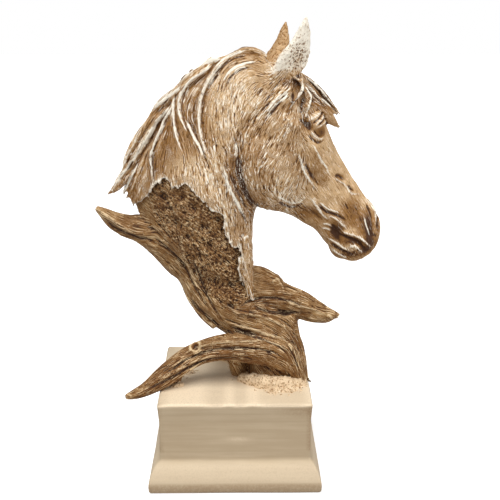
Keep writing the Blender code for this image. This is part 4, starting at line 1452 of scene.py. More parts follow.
BARK_SHARD = ((-37.5, -2, 70, 1.2), (-32, -4, 62, 3), (-24, -6, 52, 4), (-14, -8, 43, 4))
LEFT_ROOT = (
    (49, -12, -6, 6.5), (46.5, -14, 8, 8.5), (38.5, -15, 19.5, 11.5), (26, -16, 26.5, 12.5),
    (9, -18, 29, 11.5), (-8, -18, 29.6, 10.2), (-23, -17, 26, 9.2), (-36, -18, 20, 9),
    (-47, -23, 13.6, 8.6), (-57, -28, 7.2, 7.6), (-66, -33, 2.4, 5.6), (-75, -37, -0.4, 4),
    (-82, -40, -1.4, 2),
)
RIGHT_ROOT = ((40, -2, 50, 8), (44.5, -5, 34, 6), (49, -8, 16, 6.4), (51.5, -12, -4, 6.6))
BACK_ROOT = ((18, 8, 26, 10), (4, 20, 12, 8), (-10, 30, 3, 6), (-22, 36, -3, 3))
MIDDLE_FOOT = ((-4, -6, 24, 6), (0, -3, 14, 6.5), (6, 1, -4, 8))
ROOT_STUB = ((-40, -18, 16, 6), (-45, -18, 6, 4.6), (-46, -18, -4, 4.5))

# Lines that the grain follows on the trunk and branches, and then on the roots: x, z points
WOOD_LINES = (
    ((-102.9, 132.2), (-92.5, 126.9), (-85.8, 121.6), (-73.7, 116.2), (-63.2, 114.8)),
    ((-88.8, 116.7), (-74.2, 111.4), (-63.4, 110.2), (-52.8, 106.3)),
    ((-59, 110), (-38, 92), (-19, 69), (0, 57), (20, 50), (44, 32)),
    ((-34.6, 65.6), (-30.2, 59.7), (-22, 51.8), (-13.4, 43.7), (-6.3, 39.7)),
    ((-31.8, 101.2), (-22.9, 75.1), (-7, 46.3)),
    ((-3.9, 58.1), (16.1, 54.8), (31.3, 47.8), (43.2, 32.9), (46.7, 20)),
    ((0, 63), (30, 65), (49, 61), (80, 48)),
    ((14.9, 60.9), (23, 57.1), (34, 53.5), (46.7, 53.5), (62, 48)),
    ((-10, 51), (10, 45), (29, 42), (44, 32), (51, 20)),
)
ROOT_LINES = (
    ((-39.3, 26.2), (-18.7, 34.8), (3.9, 37.6), (26.5, 36), (41.9, 26.7), (48, 12), (50, 2)),
    ((-70, 2), (-56, 9), (-40, 19), (-23, 27), (-5, 30), (10, 30), (26, 27), (38, 20), (46, 8)),
    ((-35.6, 12.5), (-22.9, 20.6), (-9, 23), (11, 26.4), (24.8, 19.6)),
    ((-78, -2), (-62, 1), (-50, 7), (-38, 13)),
)

# Strokes on the trunk and branches, and then on the roots
WOOD_STROKES = drawn((
    (-1.8, 1.8, ((14.9, 60.9), (23, 57.1), (34, 53.5), (46.7, 53.5), (58, 50))),
    (1.5, 1.6, ((-6.9, 62.8), (3.5, 57), (16, 55.5), (26.7, 51.1), (38, 44), (46, 30))),
    (1.4, 1.5, ((-5.8, 49.2), (8.5, 45.6), (24.4, 40.7), (36.7, 36), (45.1, 26.4), (52.1, 10.5))),
    (-1.8, 1.5, ((-7, 46.3), (6, 42), (20, 38), (34, 32), (42, 22))),
    (-1.6, 1.6, ((-31.8, 101.2), (-27, 88), (-22.9, 75.1), (-14, 58), (-7, 46.3))),
    (1.5, 1.6, ((-37.5, 108.3), (-36.2, 100), (-33.3, 89.9), (-30.8, 82.3), (-24, 68))),
    (1.5, 1.8, ((-38.1, 121.6), (-38.6, 112.6), (-37, 104))),
    (-1.6, 2.0, ((-58, 112), (-46, 102), (-38, 92), (-30, 76), (-20, 60))),
    (1.6, 2.0, ((-102.9, 132.2), (-92.5, 126.9), (-85.8, 121.6), (-73.7, 116.2), (-63.2, 114.8))),
    (-1.6, 1.8, ((-97, 127), (-88.8, 119.5), (-74.2, 113.4), (-63.4, 111.4), (-52.8, 106.3))),
    (-1.5, 1.6, ((4, 62), (14, 66), (30, 66), (45, 62), (62, 54))),
    (1.4, 1.5, ((34, 66), (48, 60), (60, 56), (72, 49))),
    (-1.6, 2.0, ((-34.6, 65.6), (-27, 57), (-18, 49), (-8, 42))),
    (1.3, 1.6, ((28, 78), (32.3, 79.5), (36, 75), (38, 70))),
))
ROOT_STROKES = drawn((
    (1.3, 1.5, ((-39.3, 26.2), (-18.7, 34.8), (3.9, 37.6), (26.5, 36), (41.9, 26.7), (49, 10))),
    (-1.5, 1.3, ((-50, 15), (-38, 22), (-22, 29), (-4, 32.4), (14, 32.4), (30, 28), (40, 20))),
    (1.0, 1.2, ((-60, 8), (-46, 15), (-34, 20), (-20, 25), (-4, 27.6), (14, 27.6), (28, 23))),
    (-1.3, 1.3, ((-68, 3), (-52, 9), (-38, 15), (-22, 21.5), (-6, 24), (10, 24.6))),
    (-1.6, 2.6, ((24, 28.5), (28, 29), (31, 28))),
))

# Soft patches of paint on the wood: x, z, how wide, how tall, how much paler and how much more wash
WOOD_TOUCHES = (
    (0, 26, 34, 12, -0.1, 0.4), (-52, 8, 22, 12, -0.1, 0.35), (34, 66, 20, 10, -0.05, 0.2),
    (46, 30, 8, 26, -0.1, 0.15), (14, 62, 14, 5, -0.1, 0.35), (-84, 122, 20, 8, -0.1, 0.15),
    (-20, 100, 24, 34, 0.15, 0.0),
)

# Deep holes of the worm-eaten wood: x, z, radius
HOLES = (
    (-22.6, 125.6, 3.4), (-11, 131.3, 3.2), (-7.4, 123.4, 2.6), (-6.2, 97.3, 3.2), (-2.7, 62.1, 3.2),
    (-44, 128, 4.2), (-30, 140, 4.4), (-52, 146, 3.6), (-38, 148, 3), (-18, 112, 3.4), (-26, 102, 3),
    (-14, 84, 3.4), (-34, 118, 2.8), (-2, 78, 2.6), (-48, 138, 2.6), (-24, 92, 2.6),
)
WORM_EATEN = (
    (-64, 158), (-58, 124), (-50, 116), (-41, 108), (-33, 90), (-22, 72), (-8, 62), (9, 64), (14, 74),
    (10, 118), (-4, 140), (-20, 148), (-30, 162), (-50, 166),
)


@dataclass
class Driftwood:
    """The driftwood and the worm-eaten wood inside the neck: the other half of the casting."""

    grid: Grid
    voxel: float = 0.6
    block_voxel: float = 1.0
    budget: int = 194000
    seed: int = 23
    bark_depth: float = 2.8
    seat: float = -0.2
    plinth_half: float = 57.0
    trunk_flat: float = 0.9
    knot: Point = (-29.8, 31.0)
    knot_radius: float = 4.2

    def make(self) -> bpy.types.Object:
        """Models the driftwood.

        Returns:
            The finished object, in metres, with its paint marks.
        """
        obj = self.block_out().fuse("driftwood_cast", self.block_voxel, 1)
        cut_with(obj, self.seat_block())
        refuse(obj, self.voxel, 2)
        skin = Skin(obj, self.grid)
        LOG.info("driftwood skin: %d points", len(skin.points))
        self.model_forms(skin)
        self.eat_core(skin)
        comb = self.comb(skin)
        self.comb_grain(skin, comb)
        self.seat_down(skin)
        self.paint_marks(skin)
        thinned = thin_skin(skin, self.budget)
        stretch = 2.6 - 1.9 * self.core_share(thinned)
        thinned.lay_patches(comb, np.random.default_rng(self.seed + 2), 900, stretch)
        return set_in_place(thinned)

    def block_out(self) -> Clay:
        """The trunk, branches and roots, and the neck's wooden core."""
        grid = self.grid
        clay = Clay(grid)
        clay.loft([self.under_bark(section) for section in NECK_SECTIONS[:7]], grid.straight)
        clay.limb(TRUNK, grid.straight, sides=24, flat=self.trunk_flat)
        clay.limb(FRONT_BRANCH, grid.straight, flat=0.8)
        roots = (LEFT_ROOT, RIGHT_ROOT, BACK_ROOT, MIDDLE_FOOT, ROOT_STUB)
        for limb in (UPPER_BRANCH, BRANCH_HUMP, BARK_SHARD, *roots):
            clay.limb(limb, grid.straight)
        return clay

    def under_bark(self, section: Point) -> Point:
        """A neck cross-section with the thickness of the skin taken off."""
        top_x, top_z, bottom_x, bottom_z, *widths = section
        length = math.hypot(top_x - bottom_x, top_z - bottom_z)
        dx = (top_x - bottom_x) / length * self.bark_depth
        dz = (top_z - bottom_z) / length * self.bark_depth
        thin = [max(width - self.bark_depth, 1.0) for width in widths]
        return (top_x - dx, top_z - dz, bottom_x + dx, bottom_z + dz, *thin)

    def seat_block(self) -> bpy.types.Object:
        """The room that the plinth takes."""
        half = self.plinth_half
        return prism("seat_block", ((-half, self.seat), (half, self.seat), (half, -60), (-half, -60)), half)

    def model_forms(self, skin: Skin) -> None:
        """Works the bold ridges, furrows and the knot into the wood.

        Args:
            skin: the driftwood's skin.
        """
        surface = skin.surface()
        straight = self.grid.straight
        heights = skin.work(WOOD_STROKES, straight, surface) + skin.work(ROOT_STROKES, straight, surface)
        from_knot = self.from_knot(skin)
        heights *= 1 - np.exp(-((from_knot / 1.3) ** 4))
        heights += 1.5 * np.exp(-(((from_knot - 1) / 0.3) ** 2)) - 1.6 * np.exp(-((from_knot / 0.62) ** 2))
        skin.push(heights)

    def from_knot(self, skin: Skin) -> np.ndarray:
        """How far each point is from the knot's middle, 1 being its ring."""
        x, y, z = skin.points.T
        off = np.hypot(x - self.knot[0], z - self.knot[1]) + 0.1 * y
        middle = skin.points[int(np.argmin(off))]
        return np.linalg.norm(skin.points - middle, axis=1) / self.knot_radius

    def core_share(self, skin: Skin) -> np.ndarray:
        """How far each point belongs to the worm-eaten core, from 0 to 1."""
        x, z = skin.points[:, 0], skin.points[:, 2]
        return ramp(outline_distance(x, z, WORM_EATEN), -2.5, 3.5)

    def eat_core(self, skin: Skin) -> None:
        """Eats holes, pits and crumbs into the core.

        Args:
            skin: the driftwood's skin.
        """
        chance = np.random.default_rng(self.seed)
        core = self.core_share(skin)
        surface = skin.surface()
        heights = np.zeros(len(skin.points))
        for side in (-1, 1):
            for x, z, radius in HOLES:
                spot = skin.lay(((x, z), (x + 0.1, z)), side, self.grid.straight, surface)
                for _, index, distance in skin.tree.find_range(spot[0], radius * 2.2) if len(spot) else ():
                    heights[index] -= radius * 0.9 * math.exp(-((distance / radius) ** 2))
        count = 5200
        odds = core / core.sum()
        for index in chance.choice(len(skin.points), size=count, p=odds):
            radius = chance.uniform(0.45, 0.95)
            deep = chance.choice((-1.0, -0.8, 0.8)) * radius * 0.8
            for _, near, distance in skin.tree.find_range(skin.points[index], radius * 2):
                heights[near] += deep * math.exp(-((distance / radius) ** 2))
        skin.push(np.clip(heights, -5.0, 1.6))

    def comb(self, skin: Skin) -> Comb:
        """The way that the grain runs on both sides.

        Args:
            skin: the driftwood's skin.

        Returns:
            Its comb.
        """
        surface = skin.surface()
        routes = []
        for side in (-1, 1):
            for line in WOOD_LINES + ROOT_LINES:
                routes.append(skin.lay(line, side, self.grid.straight, surface))
        for limb in (BACK_ROOT, ROOT_STUB, MIDDLE_FOOT, RIGHT_ROOT):
            routes.append(smooth_route([station[:3] for station in limb], 4))
        routes.append(smooth_route([(x, y + 16, z) for x, y, z, _ in TRUNK], 4))
        return Comb(route for route in routes if len(route) > 3)

    def comb_grain(self, skin: Skin, comb: Comb) -> None:
        """Furrows the wood along its grain, at three scales.

        Args:
            skin: the driftwood's skin.
            comb: the way that the grain runs.
        """
        chance = np.random.default_rng(self.seed + 1)
        core = self.core_share(skin)
        wood = 1 - core
        layers = (
            (-1, wood, 90, (18, 50), (0.5, 1.1), (0.7, 1.1), 0.05),
            (1, wood, 80, (18, 46), (0.3, 0.7), (0.7, 1.0), 0.05),
            (-1, wood, 700, (8, 26), (0.2, 0.5), (0.45, 0.65), 0.07),
            (1, wood, 600, (8, 24), (0.15, 0.4), (0.45, 0.65), 0.07),
            (1, core, 700, (2, 6), (0.3, 0.7), (0.45, 0.7), 0.9),
            (-1, core, 700, (2, 6), (0.3, 0.7), (0.45, 0.7), 0.9),
        )
        skin.push(np.clip(skin.comb_layers(chance, comb, layers), -2.2, 1.4))

    def seat_down(self, skin: Skin) -> None:
        """Keeps the worked wood off the plinth's inside."""
        half = self.plinth_half
        over = (np.abs(skin.points[:, 0]) < half) & (np.abs(skin.points[:, 1]) < half)
        low = over & (skin.points[:, 2] < self.seat)
        skin.points[low, 2] = self.seat
        skin.write()
        skin.read()

    def paint_marks(self, skin: Skin) -> None:
        """Marks where the paint is pale, where the wash settles and where the brush catches.

        Args:
            skin: the worked skin, which is given the marks.
        """
        x, z = skin.points[:, 0], skin.points[:, 2]
        core = self.core_share(skin)
        fine, middle, wide = skin.bulge(2), skin.bulge(10), skin.bulge(60)
        crest = 0.75 * ramp(fine * 1.8 + middle * 0.9 + wide * 0.2, 0.2, 1.1)
        hollow = 0.9 * ramp(-(fine * 1.6 + middle * 1.1 + wide * 0.5), 0.05, 1.0)
        pale = 0.3 + 0.08 * core + 0.12 * ramp(-x - 60, 0, 30) * (z > 80)
        from_knot = self.from_knot(skin)
        near = skin.points[:, 1] < -2
        patch = np.exp(-(((x - 63) / 9) ** 2) - ((z - 54 + (x - 63) * 0.6) / 3.4) ** 2) * near
        fibre = Stroke(1.0, 0.9, WOOD_STROKES[2].points)
        frayed = skin.work((fibre,), self.grid.straight, skin.surface(), sides=(-1,))
        crest = np.maximum(crest, np.clip(frayed, 0, 1) * 0.8)
        strokes = ((WOOD_STROKES + ROOT_STROKES, self.grid.straight),)
        light, dark = followed_lines(skin, strokes, (0.5, 0.5))
        crest = np.maximum(crest, light * 0.6)
        hollow = np.maximum(hollow * (1 - 0.7 * light), dark * 0.9)
        pale += 0.5 * patch
        pale, crest, hollow = touched_up((pale, crest, hollow), x, z, WOOD_TOUCHES, 1.2, 0.0)
        hollow = np.maximum(hollow, 0.14 * core)
        ring = np.exp(-(((from_knot - 1.05) / 0.24) ** 2))
        crest = np.maximum(crest, ring)
        hollow = np.maximum(hollow, np.exp(-((from_knot / 0.6) ** 2))) * (1 - ring)
        skin.marks = {
            "pale": np.clip(pale, 0, 1),
            "crest": np.clip(crest * (1 - 0.3 * core), 0, 1),
            "hollow": np.clip(hollow, 0, 1),
            "fur": np.clip(1.0 - 0.1 * core - 0.9 * np.exp(-((from_knot / 1.3) ** 4)), 0, 1),
            "speckle": 0.25 + 0.5 * core,
        }


# Finishes


def srgb(red: float, green: float, blue: float) -> tuple[float, float, float, float]:
    """A colour picked on screen, from 0 to 255, as the shader takes it."""
    linear = [((c / 255 + 0.055) / 1.055) ** 2.4 if c > 10 else c / 255 / 12.92 for c in (red, green, blue)]
    return (*linear, 1.0)


class Sheet:
    """A node tree, filled in from left to right."""

    def __init__(self, tree: bpy.types.NodeTree) -> None:
        """Takes an empty tree."""
        self.tree = tree
        self.column = 0

    def node(self, kind: str, **settings: object) -> bpy.types.Node:
        """A new node with its settings."""
        made = self.tree.nodes.new(kind)
        self.column += 1
        made.location = (self.column * 180, -(self.column % 4) * 160)
        for key, value in settings.items():
            setattr(made, key, value)
        return made

    def feed(self, socket: bpy.types.NodeSocket, value: object) -> None:
        """Links a socket to another one, or sets its value."""
        if isinstance(value, bpy.types.NodeSocket):
            self.tree.links.new(value, socket)
        else:
            socket.default_value = value

    def math(
        self, operation: str, first: object, second: object = 0.0, third: object = 0.0, clamp: bool = False
    ) -> bpy.types.NodeSocket:
        """One sum of two or three values."""
        made = self.node("ShaderNodeMath", operation=operation, use_clamp=clamp)
        self.feed(made.inputs[0], first)
        self.feed(made.inputs[1], second)
        self.feed(made.inputs[2], third)
        return made.outputs[0]

    def blend(self, share: object, below: object, above: object, how: str = "MIX") -> bpy.types.NodeSocket:
        """One colour laid over another."""
        made = self.node("ShaderNodeMix", data_type="RGBA", blend_type=how)
        self.feed(made.inputs[0], share)
        self.feed(made.inputs[6], below)
        self.feed(made.inputs[7], above)
        return made.outputs[2]

    def noise(
        self, where: object, scale: float, detail: float = 3.0, rough: float = 0.55
    ) -> bpy.types.NodeSocket:
        """A cloudy value around one half."""
        made = self.node("ShaderNodeTexNoise")
        self.feed(made.inputs["Vector"], where)
        for title, value in (("Scale", scale), ("Detail", detail), ("Roughness", rough)):
            made.inputs[title].default_value = value
        return made.outputs["Fac"]

    def between(
        self, value: object, low: float, high: float, start: float = 0.0, end: float = 1.0
    ) -> bpy.types.NodeSocket:
        """A value eased from one range into another."""
        made = self.node("ShaderNodeMapRange", interpolation_type="SMOOTHSTEP")
        for socket, given in zip(made.inputs, (value, low, high, start, end)):
            self.feed(socket, given)
        return made.outputs[0]

    def mark(self, name: str, kind: str = "Fac") -> bpy.types.NodeSocket:
        """A value or vector that the mesh carries for each point."""
        made = self.node("ShaderNodeAttribute", attribute_name=name)
        return made.outputs[kind]

    def mix(self, share: object, first: object, second: object) -> bpy.types.NodeSocket:
        """One value faded into another."""
        made = self.node("ShaderNodeMix", data_type="FLOAT")
        for socket, given in zip((0, 2, 3), (share, first, second)):
            self.feed(made.inputs[socket], given)
        return made.outputs[0]

    def place(self, scale: Point = (1, 1, 1)) -> bpy.types.NodeSocket:
        """The object's own coordinates, stretched.

        Args:
            scale: how far, along each axis.

        Returns:
            The socket that gives them.
        """
        made = self.node("ShaderNodeTexCoord")
        if scale == (1, 1, 1):
            return made.outputs["Object"]
        stretch = self.node("ShaderNodeMapping")
        self.feed(stretch.inputs["Vector"], made.outputs["Object"])
        stretch.inputs["Scale"].default_value = scale
        return stretch.outputs["Vector"]


def new_finish(name: str) -> tuple[bpy.types.Material, Sheet, bpy.types.Node]:
    """A new material, the sheet of its nodes and its shader."""
    material = bpy.data.materials.new(name)
    material.use_nodes = True
    return material, Sheet(material.node_tree), material.node_tree.nodes["Principled BSDF"]


def give_relief(
    sheet: Sheet, shader: bpy.types.Node, height: object, strength: float, distance: float
) -> None:
    """Raises and lowers a finish by a height.

    Args:
        sheet: the finish's nodes.
        shader: its shader.
        height: the socket that gives the height.
        strength: how strongly it shows, from 0 to 1.
        distance: how high a height of one is, in metres.
    """
    relief = sheet.node("ShaderNodeBump")
    relief.inputs["Strength"].default_value = strength
    relief.inputs["Distance"].default_value = distance
    sheet.feed(relief.inputs["Height"], height)
    sheet.feed(shader.inputs["Normal"], relief.outputs["Normal"])


def new_group(name: str, takes: Sequence[tuple[str, str]], gives: Sequence[tuple[str, str]]) -> Sheet:
    """An empty node group with its named sockets.

    Args:
        name: the group's name.
        takes: the name and kind, Color, Float or Vector, of each input.
        gives: the same for each output.

    Returns:
        The group as a sheet to fill in.
    """
    tree = bpy.data.node_groups.new(name, "ShaderNodeTree")
    for way, sockets in (("INPUT", takes), ("OUTPUT", gives)):
        for title, kind in sockets:
            tree.interface.new_socket(title, in_out=way, socket_type=f"NodeSocket{kind}")
    return Sheet(tree)


def strand_group() -> bpy.types.ShaderNodeTree:
    """Fine lines of hair or grain, drawn in the two sets of patches and blended between them."""
    name = "strand_lines"
    if name in bpy.data.node_groups:
        return bpy.data.node_groups[name]
    takes = [(title, "Vector") for title in ("First", "Second")]
    takes += [(title, "Float") for title in ("Share", "Along", "Across")]
    sheet = new_group(name, takes, (("Line", "Float"),))
    given = sheet.node("NodeGroupInput").outputs
    scale = sheet.node("ShaderNodeCombineXYZ")
    sheet.feed(scale.inputs[0], given["Along"])
    sheet.feed(scale.inputs[1], given["Across"])
    scale.inputs[2].default_value = 1.0
    lines = []
    for title in ("First", "Second"):
        stretched = sheet.node("ShaderNodeVectorMath", operation="MULTIPLY")
        sheet.feed(stretched.inputs[0], given[title])
        sheet.feed(stretched.inputs[1], scale.outputs[0])
        lines.append(sheet.noise(stretched.outputs[0], 1.0, 2.0, 0.75))
    out = sheet.node("NodeGroupOutput")
    sheet.feed(out.inputs["Line"], sheet.mix(given["Share"], *lines))
    return sheet.tree


def antique_group() -> bpy.types.ShaderNodeTree:
    """The shared antique paint: a coat, a stain and dark wash in the hollows, a pale brush on the crests."""
    name = "antique_paint"
    if name in bpy.data.node_groups:
        return bpy.data.node_groups[name]
    colours = ("Shade coat", "Light coat", "Stain", "Wash", "Brush")
    values = ("Pale", "Hollow", "Crest", "Speckle", "Line", "Fur")
    takes = [(title, "Color") for title in colours] + [(title, "Float") for title in values]
    sheet = new_group(name, takes, (("Color", "Color"), ("Roughness", "Float"), ("Height", "Float")))
    given = sheet.node("NodeGroupInput").outputs
    where = sheet.place()
    clouds = sheet.noise(where, 85, 2)
    patchy = sheet.between(clouds, 0.36, 0.64)
    grains = sheet.noise(where, 650, 3, 0.6)
    flecks = sheet.noise(where, 2200, 2, 0.6)
    line, fur = given["Line"], given["Fur"]
    bright_line = sheet.math("MULTIPLY", sheet.between(line, 0.51, 0.62), fur)
    dark_line = sheet.math("MULTIPLY", sheet.between(line, 0.49, 0.39), fur)
    lightness = sheet.math("ADD", given["Pale"], sheet.math("MULTIPLY_ADD", patchy, 0.36, -0.18))
    lightness = sheet.math("ADD", lightness, sheet.between(grains, 0.3, 0.7, -0.12, 0.12))
    lightness = sheet.math("ADD", lightness, sheet.math("MULTIPLY", bright_line, 0.35), clamp=True)
    coat = sheet.blend(lightness, given["Shade coat"], given["Light coat"])
    soaked = sheet.math("MULTIPLY", dark_line, sheet.between(clouds, 0.36, 0.64, 0.85, 0.6))
    depth = sheet.math("ADD", given["Hollow"], soaked)
    depth = sheet.math("ADD", depth, sheet.between(grains, 0.3, 0.7, 0.1, -0.1))
    speckled = sheet.math("MULTIPLY", given["Speckle"], sheet.between(grains, 0.5, 0.62))
    depth = sheet.math("ADD", depth, speckled)
    stained = sheet.blend(sheet.between(depth, 0.05, 0.5), coat, given["Stain"])
    washed = sheet.blend(sheet.between(depth, 0.4, 1.0), stained, given["Wash"])
    brushed_line = sheet.math("MULTIPLY", bright_line, sheet.between(clouds, 0.36, 0.64, 0.4, 1.0))
    caught = sheet.math("ADD", given["Crest"], brushed_line)
    caught = sheet.math("SUBTRACT", caught, sheet.math("MULTIPLY", dark_line, 0.5))
    caught = sheet.math("SUBTRACT", caught, sheet.math("MULTIPLY", speckled, 0.8), clamp=True)
    caught = sheet.math("MULTIPLY", caught, sheet.between(flecks, 0.3, 0.52, 0.6, 1.0))
    caught = sheet.between(caught, 0.1, 0.8)
    brushed = sheet.blend(caught, washed, given["Brush"])
    out = sheet.node("NodeGroupOutput")
    sheet.feed(out.inputs["Color"], brushed)
    sheet.feed(out.inputs["Roughness"], sheet.math("SUBTRACT", 0.68, sheet.math("MULTIPLY", caught, 0.16)))
    ribbed = sheet.math("MULTIPLY", sheet.math("MULTIPLY", line, fur), 1.6)
    rough = sheet.math("ADD", sheet.math("MULTIPLY", grains, 0.4), sheet.math("MULTIPLY", flecks, 0.2))
    sheet.feed(out.inputs["Height"], sheet.math("ADD", ribbed, rough))
    return sheet.tree


@dataclass(frozen=True)
class AntiquePaint:
    """Antique paint over cast resin."""

    name: str
    shade_coat: tuple[float, ...]
    light_coat: tuple[float, ...]
    stain: tuple[float, ...]
    wash: tuple[float, ...]
    brush: tuple[float, ...]
    lines_along: float = 0.12
    lines_across: float = 1.4
    bump: float = 0.0004

    def dress(self, obj: bpy.types.Object) -> None:
        """Builds the material and gives it to the object.

        Args:
            obj: the piece that it dresses.
        """
        material, sheet, shader = new_finish(self.name)
        lines = sheet.node("ShaderNodeGroup", node_tree=strand_group())
        sheet.feed(lines.inputs["First"], sheet.mark("strand_a", "Vector"))
        sheet.feed(lines.inputs["Second"], sheet.mark("strand_b", "Vector"))
        sheet.feed(lines.inputs["Share"], sheet.mark("strand_share"))
        sheet.feed(lines.inputs["Along"], self.lines_along)
        sheet.feed(lines.inputs["Across"], self.lines_across)
        group = sheet.node("ShaderNodeGroup", node_tree=antique_group())
        given = {
            "Shade coat": self.shade_coat,
            "Light coat": self.light_coat,
            "Stain": self.stain,
            "Wash": self.wash,
            "Brush": self.brush,
            "Pale": sheet.mark("pale"),
            "Hollow": sheet.mark("hollow"),
            "Crest": sheet.mark("crest"),
            "Speckle": sheet.mark("speckle"),
            "Line": lines.outputs["Line"],
            "Fur": sheet.mark("fur"),
        }
        for title, value in given.items():
            sheet.feed(group.inputs[title], value)
        sheet.feed(shader.inputs["Base Color"], group.outputs["Color"])
        sheet.feed(shader.inputs["Roughness"], group.outputs["Roughness"])
        give_relief(sheet, shader, group.outputs["Height"], 0.7, self.bump)
        shader.inputs["Specular IOR Level"].default_value = 0.35
        obj.data.materials.clear()
        obj.data.materials.append(material)


HORSE_PAINT = AntiquePaint(
    name="horse_paint",
    shade_coat=srgb(142, 102, 60),
    light_coat=srgb(216, 180, 134),
    stain=srgb(148, 103, 48),
    wash=srgb(70, 38, 10),
    brush=srgb(255, 247, 230),
)
WOOD_PAINT = AntiquePaint(
    name="driftwood_paint",
    shade_coat=srgb(118, 80, 38),
    light_coat=srgb(196, 156, 104),
    stain=srgb(118, 74, 24),
    wash=srgb(56, 29, 7),
    brush=srgb(226, 200, 158),
    lines_across=1.7,
)
GRIT_PAINT = AntiquePaint(
    name="grit_paint",
    shade_coat=srgb(190, 160, 124),
    light_coat=srgb(232, 208, 174),
    stain=srgb(168, 136, 98),
    wash=srgb(112, 80, 50),
    brush=srgb(248, 232, 206),
)


@dataclass(frozen=True)
class StonePaint:
    """Cream paint over the plinth, laid on with a broad brush."""

    name: str = "plinth_paint"
    coat: tuple[float, ...] = srgb(186, 167, 139)
    light: tuple[float, ...] = srgb(200, 181, 151)
    shade: tuple[float, ...] = srgb(172, 150, 120)
    # Brown of the rubs, also laid as painted shade on a band low on the foot.
    rub_and_shade: tuple[float, ...] = srgb(138, 106, 72)
    # Pale of the smear, also laid as painted light on the top and the foot's slope and as a painted
    # highlight on the top edge.
    smear: tuple[float, ...] = srgb(234, 214, 184)

    def dress(self, obj: bpy.types.Object) -> None:
        """Builds the material and gives it to the object.

        Args:
            obj: the piece that it dresses.
        """
        material, sheet, shader = new_finish(self.name)
        streaks = sheet.noise(sheet.place((14, 14, 240)), 1.0, 4, 0.6)
        top_streaks = sheet.noise(sheet.place((16, 120, 16)), 1.0, 4, 0.6)
        clouds = sheet.noise(sheet.place(), 34, 3)
        flecks = sheet.noise(sheet.place(), 800, 3, 0.6)
        streak = sheet.mix(sheet.mark("top"), streaks, top_streaks)
        colour = sheet.blend(sheet.between(streak, 0.36, 0.66), self.shade, self.light)
        colour = sheet.blend(0.62, colour, self.coat)
        colour = sheet.blend(sheet.between(clouds, 0.3, 0.75, 0.0, 0.3), colour, self.shade)
        # The light mark lays the smear colour, partly as painted light and a painted highlight; the rub mark
        # lays the rub colour, partly as painted shade.
        for mark, over, low, least in (("light", self.smear, 0.2, 0.6), ("rub_and_shade", self.rub_and_shade, 0.3, 0.3)):
            flecked = sheet.math("MULTIPLY", sheet.mark(mark), sheet.between(flecks, low, 0.6, least, 1.0))
            colour = sheet.blend(flecked, colour, over)
        sheet.feed(shader.inputs["Base Color"], colour)
        sheet.feed(shader.inputs["Roughness"], sheet.between(streak, 0.3, 0.7, 0.52, 0.68))
        brushed = sheet.math("ADD", streak, sheet.math("MULTIPLY", flecks, 0.35))
        give_relief(sheet, shader, brushed, 0.35, 0.0002)
        shader.inputs["Specular IOR Level"].default_value = 0.4
        obj.data.materials.clear()
        obj.data.materials.append(material)


# The plinth and the grit on it


